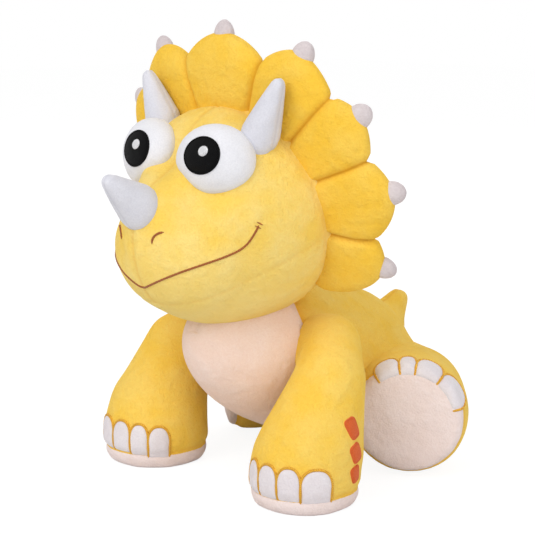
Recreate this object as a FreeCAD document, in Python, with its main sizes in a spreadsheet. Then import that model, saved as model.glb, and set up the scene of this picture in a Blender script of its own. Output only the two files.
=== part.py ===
import FreeCAD, Part
import math
import os

# A stuffed three-horned dinosaur, about 31 cm tall, in its sitting pose: seat and front soles on the floor, front
# legs planted, hind legs pushed forward and outward.  It is cut and sewn from short-pile plush over loose filling,
# so every cover is a thin shell of fabric, and every wad of filling is a solid of its own inside it.
#
# Frame: millimetres, +Z up, the animal faces -Y, +X is its own left.  The origin is on the floor, under the widest
# part of the torso, on the flat that the toy sits on.

Vector = FreeCAD.Vector
Placement = FreeCAD.Placement
Rotation = FreeCAD.Rotation
X_AXIS, Y_AXIS, Z_AXIS = Vector(1, 0, 0), Vector(0, 1, 0), Vector(0, 0, 1)

DOC = FreeCAD.newDocument("stuffed_dinosaur")
SHEET = DOC.addObject("Spreadsheet::Sheet", "Sizes")
PIECES = []

# ---------------------------------------------------------------------------------------------------------------
# Driving dimensions
# ---------------------------------------------------------------------------------------------------------------

SIZES = [
    ("fabric", 1.6, "thickness of the plush cover, backing and pile"),
    ("sewn_gap", 0.3, "between a cover and what it is filled with or what is sewn on it"),
    ("body_gap", 0.5, "between pieces that move against each other"),
    ("patch", 0.9, "thickness of embroidery and sewn-on patches"),
    ("torso_half_width", 56, "at the widest section"),
    ("torso_half_height", 63, "at the widest section"),
    ("torso_front_length", 146, "widest section to the chest"),
    ("torso_rear_length", 66, "widest section to the rump"),
    ("torso_lean", 18.2, "degrees that the chest is raised"),
    ("torso_axis_height", 60, "torso axis above the floor at the widest section"),
    ("belly_seam_rise", 6, "line over the torso's axis where the belly panel's seams would meet"),
    ("belly_half_angle", 76, "degrees of the pale belly panel each side of the underside"),
    ("neck_forward", 85, "neck centre in front of the origin"),
    ("neck_height", 130, "neck centre above the floor"),
    ("neck_lean", 16.7, "degrees that the neck axis leans forward"),
    ("neck_radius", 28, "ball of filling in the neck"),
    ("neck_free_angle", 6, "degrees of free room on each side of the neck joint"),
    ("neck_free_radius", 64, "reach of that free room under the head"),
    ("head_forward", 90.3, "centre of the frill seam in front of the origin"),
    ("head_height", 186, "centre of the frill seam above the floor"),
    ("head_lean", 18.4, "degrees that the frill seam leans forward"),
    ("face_half_width", 75, "half width of the face at the frill seam"),
    ("face_half_height", 72, "half height of the face at the frill seam"),
    ("face_depth", 99, "frill seam to the front of the snout"),
    ("nape_depth", 38, "depth of the back of the head behind the frill"),
    ("nape_narrowing", 4, "back of the head inside the face, all round the seam"),
    ("chin_seam_drop", 40, "chin seam below the frill seam's centre, at the frill"),
    ("chin_seam_slope", 20, "degrees that the chin seam rises towards the front, against the face's axis"),
    ("frill_sweep", 19, "degrees that the frill sweeps back, out from the head"),
    ("frill_root_back", -20.5, "where the frill's middle surface would meet the head's axis, behind the seam"),
    ("frill_lobe_reach", 119, "frill seam's centre to the end of a lobe"),
    ("frill_middle_reach", 112, "frill seam's centre to the end of the middle lobe"),
    ("frill_lobe_half_length", 44, "padded lobe, along its radius"),
    ("frill_lobe_half_width", 29, "padded lobe, across"),
    ("frill_lobe_half_thick", 11, "padded lobe, front to back"),
    ("frill_lobe_pitch", 28.5, "degrees from lobe to lobe"),
    ("frill_tip_length", 17, "pale tip beyond its lobe"),
    ("frill_tip_radius", 9.5, "pale tip where it is sewn in"),
    ("frill_tip_seat", 8, "how far a pale tip is set into its lobe"),
    ("eye_half_width", 28, "eye dome"),
    ("eye_half_height", 23.5, "eye dome"),
    ("eye_half_depth", 17, "eye dome"),
    ("eye_side", 32, "eye centre from the middle"),
    ("eye_rise", 49, "eye centre above the frill seam's centre"),
    ("eye_forward", 38, "eye centre in front of the frill seam"),
    ("pupil_side", 30, "pupil from the middle"),
    ("pupil_rise", 3, "pupil above the eye's centre"),
    ("pupil_radius", 12.5, "embroidered pupil"),
    ("glint_radius", 3.4, "embroidered highlight in the pupil"),
    ("brow_horn_length", 51, "brow horn, base to tip"),
    ("brow_horn_radius", 14.5, "brow horn at its base"),
    ("brow_horn_side", 36, "brow horn's base from the middle"),
    ("brow_horn_forward", 8.5, "brow horn's base in front of the frill seam"),
    ("brow_horn_rise", 50, "brow horn's base above the frill seam's centre"),
    ("brow_horn_splay", 33, "degrees that a brow horn points outward"),
    ("nose_horn_length", 54, "nose horn, base to tip"),
    ("nose_horn_radius", 20, "nose horn at its base"),
    ("nose_horn_forward", 170, "centre of the nose horn's base in front of the origin"),
    ("nose_horn_height", 171, "centre of the nose horn's base above the floor"),
    ("nose_horn_lean", 41, "degrees that the nose horn leans forward"),
    ("horn_tip_radius", 4.5, "rounded end of each horn"),
    ("mouth_width", 2.2, "width of an embroidered line"),
    ("mouth_height", 144, "middle of the mouth above the floor"),
    ("mouth_corner_height", 181, "corner of the mouth above the floor"),
    ("mouth_half_width", 64, "corner of the mouth from the middle"),
    ("nostril_side", 19, "nostril from the middle"),
    ("nostril_height", 172, "nostril above the floor"),
    ("nostril_radius", 5, "curve of the nostril"),
    ("forefoot_side", 71, "sole centre from the middle"),
    ("forefoot_forward", 104, "sole centre in front of the origin"),
    ("shoulder_side", 62, "shoulder centre from the middle"),
    ("shoulder_forward", 88, "shoulder centre in front of the origin"),
    ("upper_arm_height", 77, "centre of the shoulder's round end above the floor"),
    ("shoulder_height", 80, "shoulder joint above the floor"),
    ("forefoot_radius", 42, "foot at its widest"),
    ("shoulder_radius", 37, "round end at the shoulder"),
    ("foot_swell_height", 16, "sole to the foot's widest"),
    ("paw_height", 62, "front foot, sole to its rounded top inside the leg"),
    ("ankle_radius", 38, "leaning part of the front leg at the foot"),
    ("ankle_height", 12, "start of the leaning part of the front leg"),
    ("shoulder_face", 42, "sewn face of the shoulder from the middle"),
    ("sewn_face_bottom", 37, "bottom of that face above the floor"),
    ("shoulder_pocket", 58, "radius of the torso's flat for the shoulder"),
    ("sole_band", 9, "height of a sole panel's turned-up edge"),
    ("hindfoot_side", 89, "sole centre from the middle"),
    ("hindfoot_forward", 22, "sole centre in front of the origin"),
    ("hindfoot_height", 45, "sole centre above the floor"),
    ("hindfoot_radius", 42, "foot at its widest"),
    ("hip_radius", 39, "round end at the hip"),
    ("hindleg_length", 102, "sole to the round end at the hip"),
    ("hindleg_splay", 38, "degrees that the hind leg points outward"),
    ("hip_face", 48, "sewn face of the hip from the middle"),
    ("hip_behind", 15, "hip joint behind the origin"),
    ("hip_height", 46, "hip joint above the floor"),
    ("hip_pocket", 68, "radius of the torso's flat for the hip"),
    ("seam_ring_radius", 20, "ring of turned-in fabric at each leg"),
    ("seam_ring_wall", 3, "ring of turned-in fabric at each leg"),
    ("seam_ring_depth", 5, "ring of turned-in fabric at each leg"),
    ("toe_pitch", 29, "degrees from toe to toe"),
    ("toe_width", 17, "pale toenail"),
    ("toe_height", 24, "pale toenail above the sole panel"),
    ("toe_turn", 8, "degrees that the toes point outward"),
    ("scale_size", 10, "orange scale patch"),
    ("scale_pitch", 15, "orange scale to orange scale"),
    ("scale_height", 30, "lowest orange scale above the floor"),
    ("tail_behind", 54, "tail root behind the origin"),
    ("tail_root_height", 84, "tail root above the floor"),
    ("tail_lean", 46, "degrees that the tail leans back from upright"),
    ("tail_root_radius", 18, "ball at the tail's root"),
    ("tail_length", 33, "root centre to the end of the tail"),
    ("tail_tip_radius", 8, "rounded end of the tail"),
]


def fill_sheet():
    """Writes every driving dimension to the spreadsheet, one alias to a row."""
    for row, (alias, value, note) in enumerate(SIZES, start=1):
        SHEET.set(f"A{row}", alias)
        SHEET.set(f"B{row}", str(value))
        SHEET.setAlias(f"B{row}", alias)
        SHEET.set(f"C{row}", note)
    DOC.recompute()


def size(alias):
    """The value of one cell."""
    return float(SHEET.get(alias))


def cell(alias):
    """The same cell, as it is written in an expression."""
    return f"Sizes.{alias}"


fill_sheet()

# How far inside the outer surface a form lies, as expressions and as numbers.
SKIN = "0"
INSIDE = cell("fabric")
FILLING = f"({cell('fabric')} + {cell('sewn_gap')})"
SEWN_ON = f"(0 - {cell('sewn_gap')})"
PATCH_TOP = f"(0 - {cell('sewn_gap')} - {cell('patch')})"
DEPTHS = {
    SKIN: 0.0,
    INSIDE: size("fabric"),
    FILLING: size("fabric") + size("sewn_gap"),
    SEWN_ON: -size("sewn_gap"),
    PATCH_TOP: -size("sewn_gap") - size("patch"),
}
# Larger than the toy in every direction: the reach of boxes and cylinders that only cut.
FAR = 2 * (size("torso_front_length") + size("head_height"))

# ---------------------------------------------------------------------------------------------------------------
# Small makers
# ---------------------------------------------------------------------------------------------------------------


def feature(kind, name, place=None, **values):
    """One document object. Text values are bound as expressions, and other values are set."""
    made = DOC.addObject(kind, name)
    for prop, value in values.items():
        if isinstance(value, str):
            made.setExpression(prop, value)
        else:
            setattr(made, prop, value)
    if place is not None:
        made.Placement = place
    return made


def moved(x=0.0, y=0.0, z=0.0, axis=Z_AXIS, degrees=0.0):
    return Placement(Vector(x, y, z), Rotation(axis, degrees))


def cut(name, base, *tools):
    """base with each tool taken away in turn."""
    for left, tool in zip(range(len(tools) - 1, -1, -1), tools):
        base = feature("Part::Cut", f"{name}_before_{left}" if left else name, Base=base, Tool=tool)
    return base


def common(name, *shapes):
    return feature("Part::MultiCommon", name, Shapes=list(shapes))


def fuse(name, *shapes):
    return feature("Part::MultiFuse", name, Shapes=list(shapes))


def mirrored(name, source):
    """The mirror image across the middle of the animal."""
    return feature("Part::Mirroring", name, Source=source, Normal=X_AXIS, Base=Vector())


def publish(label, made):
    """Names a finished piece. Its label is its file's name."""
    made.Label = label
    PIECES.append(made)
    return made


def publish_pair(stem, left):
    """A left-hand piece and its mirror image."""
    publish(f"{stem}_left", left)
    publish(f"{stem}_right", mirrored(f"{stem}_mirror", left))


def block(name, low, high, place=None):
    """A box from corner to corner, for cutting."""
    corner = Placement(Vector(*low), Rotation())
    sides = [top - bottom for bottom, top in zip(low, high)]
    whole = corner if place is None else place * corner
    return feature("Part::Box", name, whole, Length=sides[0], Width=sides[1], Height=sides[2])


def ellipsoid(name, place, along_x, along_y, along_z, depth=SKIN, low=-90, high=90, seam_below=False):
    """An ellipsoid with three named radii, or a part of one between two latitudes.

    Its surface closes on a line at +x, or at -y where that is the hidden side.
    """
    if seam_below:
        place = place * moved(degrees=-90)
        along_x, along_y = along_y, along_x
    return feature(
        "Part::Ellipsoid",
        name,
        place,
        Radius1=f"{along_z} - {depth}",
        Radius2=f"{along_x} - {depth}",
        Radius3=f"{along_y} - {depth}",
        Angle1=low,
        Angle2=high,
    )


def ball(name, place, radius):
    return feature("Part::Sphere", name, place, Radius=radius)


def rod(name, place, radius, height):
    return feature("Part::Cylinder", name, place, Radius=radius, Height=height)


def layer(name, outside, inside, zone):
    """The part of the layer between two forms that lies in a zone."""
    return cut(name, common(f"{name}_zone", outside, zone), inside)


# ---------------------------------------------------------------------------------------------------------------
# Frames of the sub-assemblies
# ---------------------------------------------------------------------------------------------------------------

# Each frame's z runs along the axis of the form, and its y points up.
TORSO = moved(0, 0, size("torso_axis_height"), X_AXIS, 90 - size("torso_lean"))
HEAD = moved(0, -size("head_forward"), size("head_height"), X_AXIS, 90 + size("head_lean"))
NECK = moved(0, -size("neck_forward"), size("neck_height"), X_AXIS, size("neck_lean"))
TAIL = moved(0, size("tail_behind"), size("tail_root_height"), X_AXIS, -size("tail_lean"))
SHOULDER = Vector(0, -size("shoulder_forward"), size("shoulder_height"))
HIP = Vector(0, size("hip_behind"), size("hip_height"))
FOREFOOT = moved(size("forefoot_side"), -size("forefoot_forward"), 0)
UPPER_ARM = Vector(size("shoulder_side"), -size("shoulder_forward"), size("upper_arm_height"))
FORELEG = Placement(FOREFOOT.Base, Rotation(Z_AXIS, UPPER_ARM - FOREFOOT.Base))
FORELEG_LENGTH = (UPPER_ARM - FOREFOOT.Base).Length
HINDFOOT = Placement(
    Vector(size("hindfoot_side"), -size("hindfoot_forward"), size("hindfoot_height")),
    Rotation(Z_AXIS, size("hindleg_splay")) * Rotation(X_AXIS, 90) * Rotation(Y_AXIS, 180),
)

# ---------------------------------------------------------------------------------------------------------------
# Room for the joints
# ---------------------------------------------------------------------------------------------------------------


def neck_room(name, upward, depth):
    """What one side of the neck joint leaves free: the ball's socket, and a flat cone that lets the head tip."""
    side = 1 if upward else -1
    angle = math.radians(size("neck_free_angle"))
    reach = size("neck_free_radius") if upward else FAR
    apex = side * DEPTHS[depth] / math.cos(angle)
    rise = reach * math.tan(angle)
    turn = moved(0, 0, apex) if upward else moved(0, 0, apex, X_AXIS, 180)
    cone = feature("Part::Cone", f"{name}_cone", NECK * turn, Radius1=0.0, Radius2=reach, Height=rise)
    below = moved(0, 0, -FAR)
    disc = rod(f"{name}_disc", NECK * turn * below, reach, FAR + rise)
    socket = ball(f"{name}_ball", NECK, f"{cell('neck_radius')} + {cell('body_gap')} + {depth}")
    return [cut(f"{name}_wedge", disc, cone), socket]


def leg_room(name, centre, face, pocket, foot, depth):
    """The flat on the left of the torso that a leg swings against, out to the end of its foot."""
    start = moved(face - DEPTHS[depth], centre.y, centre.z, Y_AXIS, 90)
    around = rod(f"{name}_around", start, f"{cell(pocket)} + {depth}", FAR)
    return [around]


# ---------------------------------------------------------------------------------------------------------------
# Torso
# ---------------------------------------------------------------------------------------------------------------


def egg(name, depth):
    """The torso's plain form: a blunt rump and a long chest, on one leaning axis."""
    sides = cell("torso_half_width"), cell("torso_half_height")
    chest = ellipsoid(f"{name}_chest", TORSO, *sides, cell("torso_front_length"), depth, low=0)
    rump = ellipsoid(f"{name}_rump", TORSO, *sides, cell("torso_rear_length"), depth, high=0)
    return fuse(f"{name}_egg", chest, rump)


def torso_form(name, depth):
    """The torso at one depth, with its flat seat, its sockets and the flats for its legs."""
    inset = DEPTHS[depth]
    floor = block(f"{name}_floor", (-FAR, -FAR, -FAR), (FAR, FAR, inset))
    tail = ball(f"{name}_tail", TAIL, f"{cell('tail_root_radius')} + {cell('body_gap')} + {depth}")
    rooms = neck_room(f"{name}_neck", False, depth)
    left = leg_room(f"{name}_shoulder", SHOULDER, size("shoulder_face"), "shoulder_pocket", 0, depth)
    left += leg_room(f"{name}_hip", HIP, size("hip_face"), "hip_pocket", 0, depth)
    right = [mirrored(f"{room.Name}_mirror", room) for room in left]
    return cut(name, egg(name, depth), floor, tail, *rooms, *left, *right)


def sector(name, start, sweep):
    """A zone round a line over the torso's axis, from one angle on, measured from its left towards its top."""
    place = TORSO * moved(0, size("belly_seam_rise"), -FAR, Z_AXIS, start)
    return feature("Part::Cylinder", name, place, Radius=FAR, Height=2 * FAR, Angle=sweep)


def make_torso():
    outside = torso_form("torso_outside", SKIN)
    inside = torso_form("torso_inside", INSIDE)
    half_angle = size("belly_half_angle")
    under = sector("belly_sector", -90 - half_angle, 2 * half_angle)
    beside = sector("side_sector", half_angle - 90, 180 - half_angle)
    publish("belly_panel", layer("belly_panel", outside, inside, under))
    publish_pair("torso_panel", layer("torso_panel", outside, inside, beside))
    publish("torso_stuffing", torso_form("torso_stuffing", FILLING))


def make_seam_ring(stem, centre, face):
    """The turned-in rim of fabric, sewn to the torso, that a leg turns on."""
    radius = cell("seam_ring_radius")
    depth = cell("seam_ring_depth")
    start = moved(face, centre.y, centre.z, Y_AXIS, 90)
    outside = rod(f"{stem}_rim", start, radius, depth)
    hollow = rod(f"{stem}_hole", start, f"{radius} - {cell('seam_ring_wall')}", depth)
    publish_pair(stem, cut(stem, outside, hollow))


# ---------------------------------------------------------------------------------------------------------------
# Legs
# ---------------------------------------------------------------------------------------------------------------


def turned(name, place, edges):
    """A solid turned about the frame's z from edges drawn as (radius, height) points: two a line, three an arc."""
    profile = DOC.addObject("Sketcher::SketchObject", f"{name}_profile")
    for points in edges:
        spots = [Vector(radius, height, 0) for radius, height in points]
        edge = Part.LineSegment(*spots) if len(spots) == 2 else Part.Arc(*spots)
        profile.addGeometry(edge, False)
    upright = place * moved(axis=X_AXIS, degrees=90)
    return feature("Part::Revolution", name, upright, Source=profile, Axis=Y_AXIS, Base=Vector(), Angle=360, Solid=True)


def limb(name, place, foot, top, length, depth):
    """A leg at one depth: a swelling foot, a leg that thins towards the body, and a round end."""
    inset = DEPTHS[depth]
    foot_radius = size(foot) - inset
    top_radius = size(top) - inset
    heel = (foot_radius * HEEL_SHARE, inset)
    swell = (foot_radius, size("foot_swell_height"))
    ankle = (foot_radius * ANKLE_SHARE, 2 * size("foot_swell_height"))
    crown = math.sqrt(0.5) * top_radius
    edges = [
        [(0, inset), heel],
        [heel, swell, ankle],
        [ankle, (top_radius, length)],
        [(top_radius, length), (crown, length + crown), (0, length + top_radius)],
        [(0, length + top_radius), (0, inset)],
    ]
    return turned(name, place, edges)


# Radius of a sole's edge, and of the leg just over the foot, against the foot's widest.
HEEL_SHARE = 0.9
ANKLE_SHARE = 0.98


def leg_end(name, centre, face, low, depth):
    """What is taken off a leg on the torso's side: up to its sewn face, and the groove for its seam ring."""
    depth = depth if DEPTHS[depth] > 0 else SKIN
    start = size(face) + size("body_gap") + DEPTHS[depth]
    inner = block(f"{name}_inner", (-FAR, -FAR, low - DEPTHS[depth]), (start, FAR, FAR))
    gap = f"{cell('body_gap')} + {depth}"
    place = moved(size(face), centre.y, centre.z, Y_AXIS, 90)
    groove = rod(f"{name}_groove", place, f"{cell('seam_ring_radius')} + {gap}", f"{cell('seam_ring_depth')} + {gap}")
    return [inner, groove]


def paw(name, radius, height, depth):
    """A front foot: flat on the floor, swelling above its sole, and rounded over inside the leg."""
    outer = size(radius) - DEPTHS[depth]
    floor = DEPTHS[depth]
    top = size(height) - DEPTHS[depth]
    heel = (outer * HEEL_SHARE, floor)
    swell = (outer, size("foot_swell_height"))
    instep = (outer * math.sqrt(0.5), swell[1] + (top - swell[1]) * math.sqrt(0.5))
    edges = [
        [(0, floor), heel],
        [heel, (outer * ANKLE_SHARE, swell[1] / 2), swell],
        [swell, instep, (0, top)],
        [(0, top), (0, floor)],
    ]
    return turned(name, FOREFOOT, edges)


def foreleg_form(name, depth):
    """A paw under a leg that leans back and inward to the shoulder."""
    inset = DEPTHS[depth]
    ankle = size("ankle_radius") - inset
    top = size("shoulder_radius") - inset
    crown = math.sqrt(0.5) * top
    start = size("ankle_height")
    edges = [
        [(0, start), (ankle, start)],
        [(ankle, start), (top, FORELEG_LENGTH)],
        [(top, FORELEG_LENGTH), (crown, FORELEG_LENGTH + crown), (0, FORELEG_LENGTH + top)],
        [(0, FORELEG_LENGTH + top), (0, start)],
    ]
    whole = fuse(f"{name}_whole", turned(f"{name}_arm", FORELEG, edges), paw(f"{name}_paw", "forefoot_radius", "paw_height", depth))
    return cut(name, whole, *leg_end(name, SHOULDER, "shoulder_face", size("sewn_face_bottom"), depth))


def hindleg_form(name, depth):
    """Level: its sole faces forward and outward."""
    length = size("hindleg_length") - size("hip_radius")
    whole = limb(f"{name}_limb", HINDFOOT, "hindfoot_radius", "hip_radius", length, depth)
    return cut(name, whole, *leg_end(name, HIP, "hip_face", -FAR, depth))


def toe_tools(name, place, angles):
    """Round-topped prisms, one to a toe, that reach outward from the leg's middle above its sole panel."""
    half = size("toe_width") / 2
    straight = size("toe_height") - half
    band = size("sole_band")
    tools = []
    for number, angle in enumerate(angles):
        turned = place * moved(degrees=angle)
        post = block(f"{name}_post_{number}", (-half, -FAR, band), (half, 0, band + straight), turned)
        top = rod(f"{name}_arch_{number}", turned * moved(z=band + straight, axis=X_AXIS, degrees=90), half, FAR)
        tools += [post, top]
    return fuse(f"{name}_prisms", *tools)


def make_leg(stem, form, place, toe_angles):
    """Cover, sole, filling and toenails of one leg and of its mirror image."""
    outside = form(f"{stem}_outside", SKIN)
    inside = form(f"{stem}_inside", INSIDE)
    band = size("sole_band")
    foot = block(f"{stem}_foot_zone", (-FAR, -FAR, -FAR), (FAR, FAR, band), place)
    rest = block(f"{stem}_leg_zone", (-FAR, -FAR, band), (FAR, FAR, FAR), place)
    publish_pair(f"{stem}_sole", layer(f"{stem}_sole", outside, inside, foot))
    publish_pair(f"{stem}_cover", layer(f"{stem}_cover", outside, inside, rest))
    publish_pair(f"{stem}_stuffing", form(f"{stem}_stuffing", FILLING))
    under = form(f"{stem}_under_patch", SEWN_ON)
    over = form(f"{stem}_over_patch", PATCH_TOP)
    toes = toe_tools(stem, place, toe_angles)
    publish_pair(f"{stem}_toenails", layer(f"{stem}_toenails", over, under, toes))
    return over, under


def make_scales(over, under):
    """Three orange scales, one above the other, on the outer side of each front leg."""
    half = size("scale_size") / 2
    tools = []
    for number, (turn, tilt) in enumerate(SCALE_TURNS):
        height = size("scale_height") + number * size("scale_pitch")
        place = FOREFOOT * moved(z=height, degrees=turn) * moved(axis=Y_AXIS, degrees=tilt)
        tools.append(block(f"scale_{number}", (-half, -FAR, -half), (half, 0, half), place))
    zone = fuse("scale_prisms", *tools)
    publish_pair("foreleg_scales", layer("foreleg_scales", over, under, zone))


# Each scale's turn outward from straight ahead, and how far it stands on its corner, as sewn by hand.
SCALE_TURNS = [(102, 20), (106, 12), (108, 24)]

# ---------------------------------------------------------------------------------------------------------------
# Head
# ---------------------------------------------------------------------------------------------------------------


def head_blank(name, depth):
    """Face in front of the frill seam, back of the head behind it."""
    sides = cell("face_half_width"), cell("face_half_height")
    face = ellipsoid(f"{name}_face", HEAD, *sides, cell("face_depth"), depth, low=0, seam_below=True)
    inside = [f"({side} - {cell('nape_narrowing')})" for side in sides]
    nape = ellipsoid(f"{name}_nape", HEAD, *inside, cell("nape_depth"), depth, high=0, seam_below=True)
    return fuse(f"{name}_blank", face, nape)


def head_form(name, depth):
    return cut(name, head_blank(name, depth), *neck_room(f"{name}_neck", True, depth))


def make_head():
    outside = head_form("head_outside", SKIN)
    inside = head_form("head_inside", INSIDE)
    back = block("behind_the_seam", (-FAR, -FAR, -FAR), (FAR, FAR, 0), HEAD)
    publish("head_back_panel", layer("head_back_panel", outside, inside, back))
    front = block("before_the_seam", (-FAR, -FAR, 0), (FAR, FAR, FAR), HEAD)
    slope = HEAD * moved(0, -size("chin_seam_drop"), 0, X_AXIS, -size("chin_seam_slope"))
    low = block("under_the_mouth", (-FAR, -FAR, -FAR), (FAR, 0, FAR), slope)
    high = block("over_the_mouth", (-FAR, 0, -FAR), (FAR, FAR, FAR), slope)
    left = block("left_of_the_middle", (0, -FAR, -FAR), (FAR, FAR, FAR))
    around = size("neck_radius") + size("body_gap") + 2 * size("fabric")
    throat = rod("throat", NECK * moved(z=-FAR), around, FAR + around)
    under = common("chin_zone", front, fuse("chin_and_throat", low, throat))
    publish("chin_panel", layer("chin_panel", outside, inside, under))
    cheek = common("cheek_zone", front, high, left)
    publish_pair("head_panel", layer("head_panel", outside, inside, cut("cheek_off_throat", cheek, throat)))
    publish("head_stuffing", head_form("head_stuffing", FILLING))
    publish("neck_stuffing", ball("neck_stuffing", NECK, cell("neck_radius")))


def round_cone(name, place, base, tip, length):
    """A stuffed horn or tail: a cone from its base, with a ball at its end. length is to the end of the ball."""
    run = size(length) - size(tip)
    cone = feature("Part::Cone", f"{name}_cone", place, Radius1=cell(base), Radius2=cell(tip), Height=run)
    return fuse(name, cone, ball(f"{name}_end", place * moved(z=run), cell(tip)))


def make_brow(face_skin, frill):
    """Eyes, pupils and brow horns, each set down on the face."""
    centre = HEAD * moved(size("eye_side"), size("eye_rise"), size("eye_forward"))
    level = Placement(centre.Base, Rotation())
    eye = [cell(f"eye_half_{side}") for side in ("width", "depth", "height")]
    white = cut("eye_dome", ellipsoid("eye_ball", level, *eye), face_skin)
    publish_pair("eye", white)
    over = ellipsoid("pupil_over", level, *eye, PATCH_TOP)
    under = ellipsoid("pupil_under", level, *eye, SEWN_ON)
    gaze = moved(size("pupil_side"), centre.Base.y, centre.Base.z + size("pupil_rise"), X_AXIS, 90)
    disc = rod("pupil_disc", gaze, cell("pupil_radius"), FAR)
    glint = rod("glint_disc", gaze * moved(2, 4), cell("glint_radius"), FAR)
    publish_pair("pupil", cut("pupil", common("pupil_zone", over, disc), under, face_skin, glint))
    publish_pair("glint", layer("glint", over, under, glint))
    seat = HEAD * moved(size("brow_horn_side"), size("brow_horn_rise"), size("brow_horn_forward"))
    upright = Placement(seat.Base, Rotation(Y_AXIS, size("brow_horn_splay")))
    horn = round_cone("brow_horn_blank", upright, "brow_horn_radius", "horn_tip_radius", "brow_horn_length")
    dome = ellipsoid("eye_beside_horn", level, *eye, SEWN_ON)
    publish_pair("brow_horn", cut("brow_horn", horn, face_skin, dome, frill))


def make_snout(face_skin):
    """Nose horn, and the embroidered mouth and nostrils."""
    base = moved(0, -size("nose_horn_forward"), size("nose_horn_height"), X_AXIS, size("nose_horn_lean"))
    horn = round_cone("nose_horn_blank", base, "nose_horn_radius", "horn_tip_radius", "nose_horn_length")
    publish("nose_horn", cut("nose_horn", horn, face_skin))
    over = head_blank("stitch_over", PATCH_TOP)
    publish("mouth_stitch", layer("mouth_stitch", over, face_skin, smile_zone()))
    publish_pair("nostril_stitch", layer("nostril_stitch", over, face_skin, nostril_zone()))


def bow(name, centre, radius, start, sweep):
    """A thread's path as seen from the front: part of a ring, reaching forward from a point."""
    half = size("mouth_width") / 2
    place = centre * moved(degrees=start)
    outer = feature("Part::Cylinder", f"{name}_outer", place, Radius=radius + half, Height=FAR, Angle=sweep)
    inner = rod(f"{name}_inner", centre, radius - half, FAR)
    return cut(name, outer, inner)


def smile_zone():
    """From corner to corner, lowest in the middle."""
    rise = size("mouth_corner_height") - size("mouth_height")
    half = size("mouth_half_width")
    radius = (rise ** 2 + half ** 2) / (2 * rise)
    reach = math.degrees(math.asin(half / radius))
    centre = moved(0, -size("head_forward"), size("mouth_height") + radius, X_AXIS, 90)
    return bow("smile", centre, radius, -90 - reach, 2 * reach)


def nostril_zone():
    """A small arch each side of the snout's seam."""
    centre = moved(size("nostril_side"), -size("head_forward"), size("nostril_height"), X_AXIS, 90)
    return bow("nostril", centre, size("nostril_radius"), 20, 140)


def tail_form(name, depth):
    """A ball in the rump's socket, and a round-ended cone that leaves it without an edge."""
    root = size("tail_root_radius") - DEPTHS[depth]
    tip = size("tail_tip_radius") - DEPTHS[depth]
    run = size("tail_length") - size("tail_tip_radius")
    lean = math.asin((root - tip) / run)
    low = (root * math.cos(lean), root * math.sin(lean))
    high = (tip * math.cos(lean), run + tip * math.sin(lean))
    shoulder = (lean + math.pi / 2) / 2
    edges = [
        [(0, -root), (root * math.cos(lean - shoulder), root * math.sin(lean - shoulder)), low],
        [low, high],
        [high, (tip * math.cos(shoulder), run + tip * math.sin(shoulder)), (0, run + tip)],
        [(0, run + tip), (0, -root)],
    ]
    return turned(name, TAIL, edges)


def make_tail():
    publish("tail_cover", cut("tail_cover", tail_form("tail_outside", SKIN), tail_form("tail_inside", INSIDE)))
    publish("tail_stuffing", tail_form("tail_stuffing", FILLING))


# ---------------------------------------------------------------------------------------------------------------
# Frill
# ---------------------------------------------------------------------------------------------------------------

LOBES_EACH_SIDE = 4


def lobe_angles():
    """Nine lobes, from the animal's right round to its left."""
    return [number * size("frill_lobe_pitch") for number in range(-LOBES_EACH_SIDE, LOBES_EACH_SIDE + 1)]


def lobe_reach(angle):
    return size("frill_lobe_reach") if angle else size("frill_middle_reach")


def lobe_place(angle, back_from_end):
    """On the frill's middle surface, on a lobe's middle line, with y along it towards its end."""
    sweep = math.radians(size("frill_sweep"))
    reach = lobe_reach(angle)
    end = Vector(0, reach, -size("frill_root_back") - reach * math.tan(sweep))
    spot = end - Vector(0, math.cos(sweep), -math.sin(sweep)) * back_from_end
    return HEAD * moved(degrees=-angle) * Placement(spot, Rotation(X_AXIS, -size("frill_sweep")))


def frill_form(name, depth):
    """Nine padded lobes side by side round the head, creased where they are sewn through."""
    sides = [cell(f"frill_lobe_half_{side}") for side in ("width", "length", "thick")]
    lobes = []
    for number, angle in enumerate(lobe_angles()):
        place = lobe_place(angle, size("frill_lobe_half_length"))
        lobes.append(ellipsoid(f"{name}_lobe_{number}", place, *sides, depth, seam_below=True))
    return fuse(f"{name}_lobes", *lobes)


def make_frill(bore, seat):
    outside = cut("frill_outside", frill_form("frill_skin", SKIN), bore)
    inside = frill_form("frill_inside", INSIDE)
    rise = FAR * math.tan(math.radians(size("frill_sweep")))
    start = HEAD * moved(z=-size("frill_root_back") - rise)
    back = feature("Part::Cone", "behind_the_rim", start, Radius1=FAR, Radius2=0.0, Height=rise)
    front = cut("before_the_rim", block("all_the_frill", (-FAR, -FAR, -FAR / 2), (FAR, FAR, FAR), HEAD), back)
    publish("frill_back_panel", layer("frill_back_panel", outside, inside, back))
    publish("frill_front_panel", layer("frill_front_panel", outside, inside, front))
    publish("frill_stuffing", cut("frill_stuffing", frill_form("frill_filling", FILLING), head_blank("frill_core", PATCH_TOP)))
    radius = cell("frill_tip_radius")
    length = f"({cell('frill_tip_length')} + {cell('frill_tip_seat')})"
    for number, angle in enumerate(lobe_angles(), start=1):
        place = lobe_place(angle, size("frill_tip_seat")) * moved(axis=X_AXIS, degrees=-90)
        tip = ellipsoid(f"tip_{number}", place, radius, radius, length, low=0)
        publish(f"frill_tip_{number}", cut(f"frill_tip_{number}", tip, seat))


# ---------------------------------------------------------------------------------------------------------------
# Main
# ---------------------------------------------------------------------------------------------------------------


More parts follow.
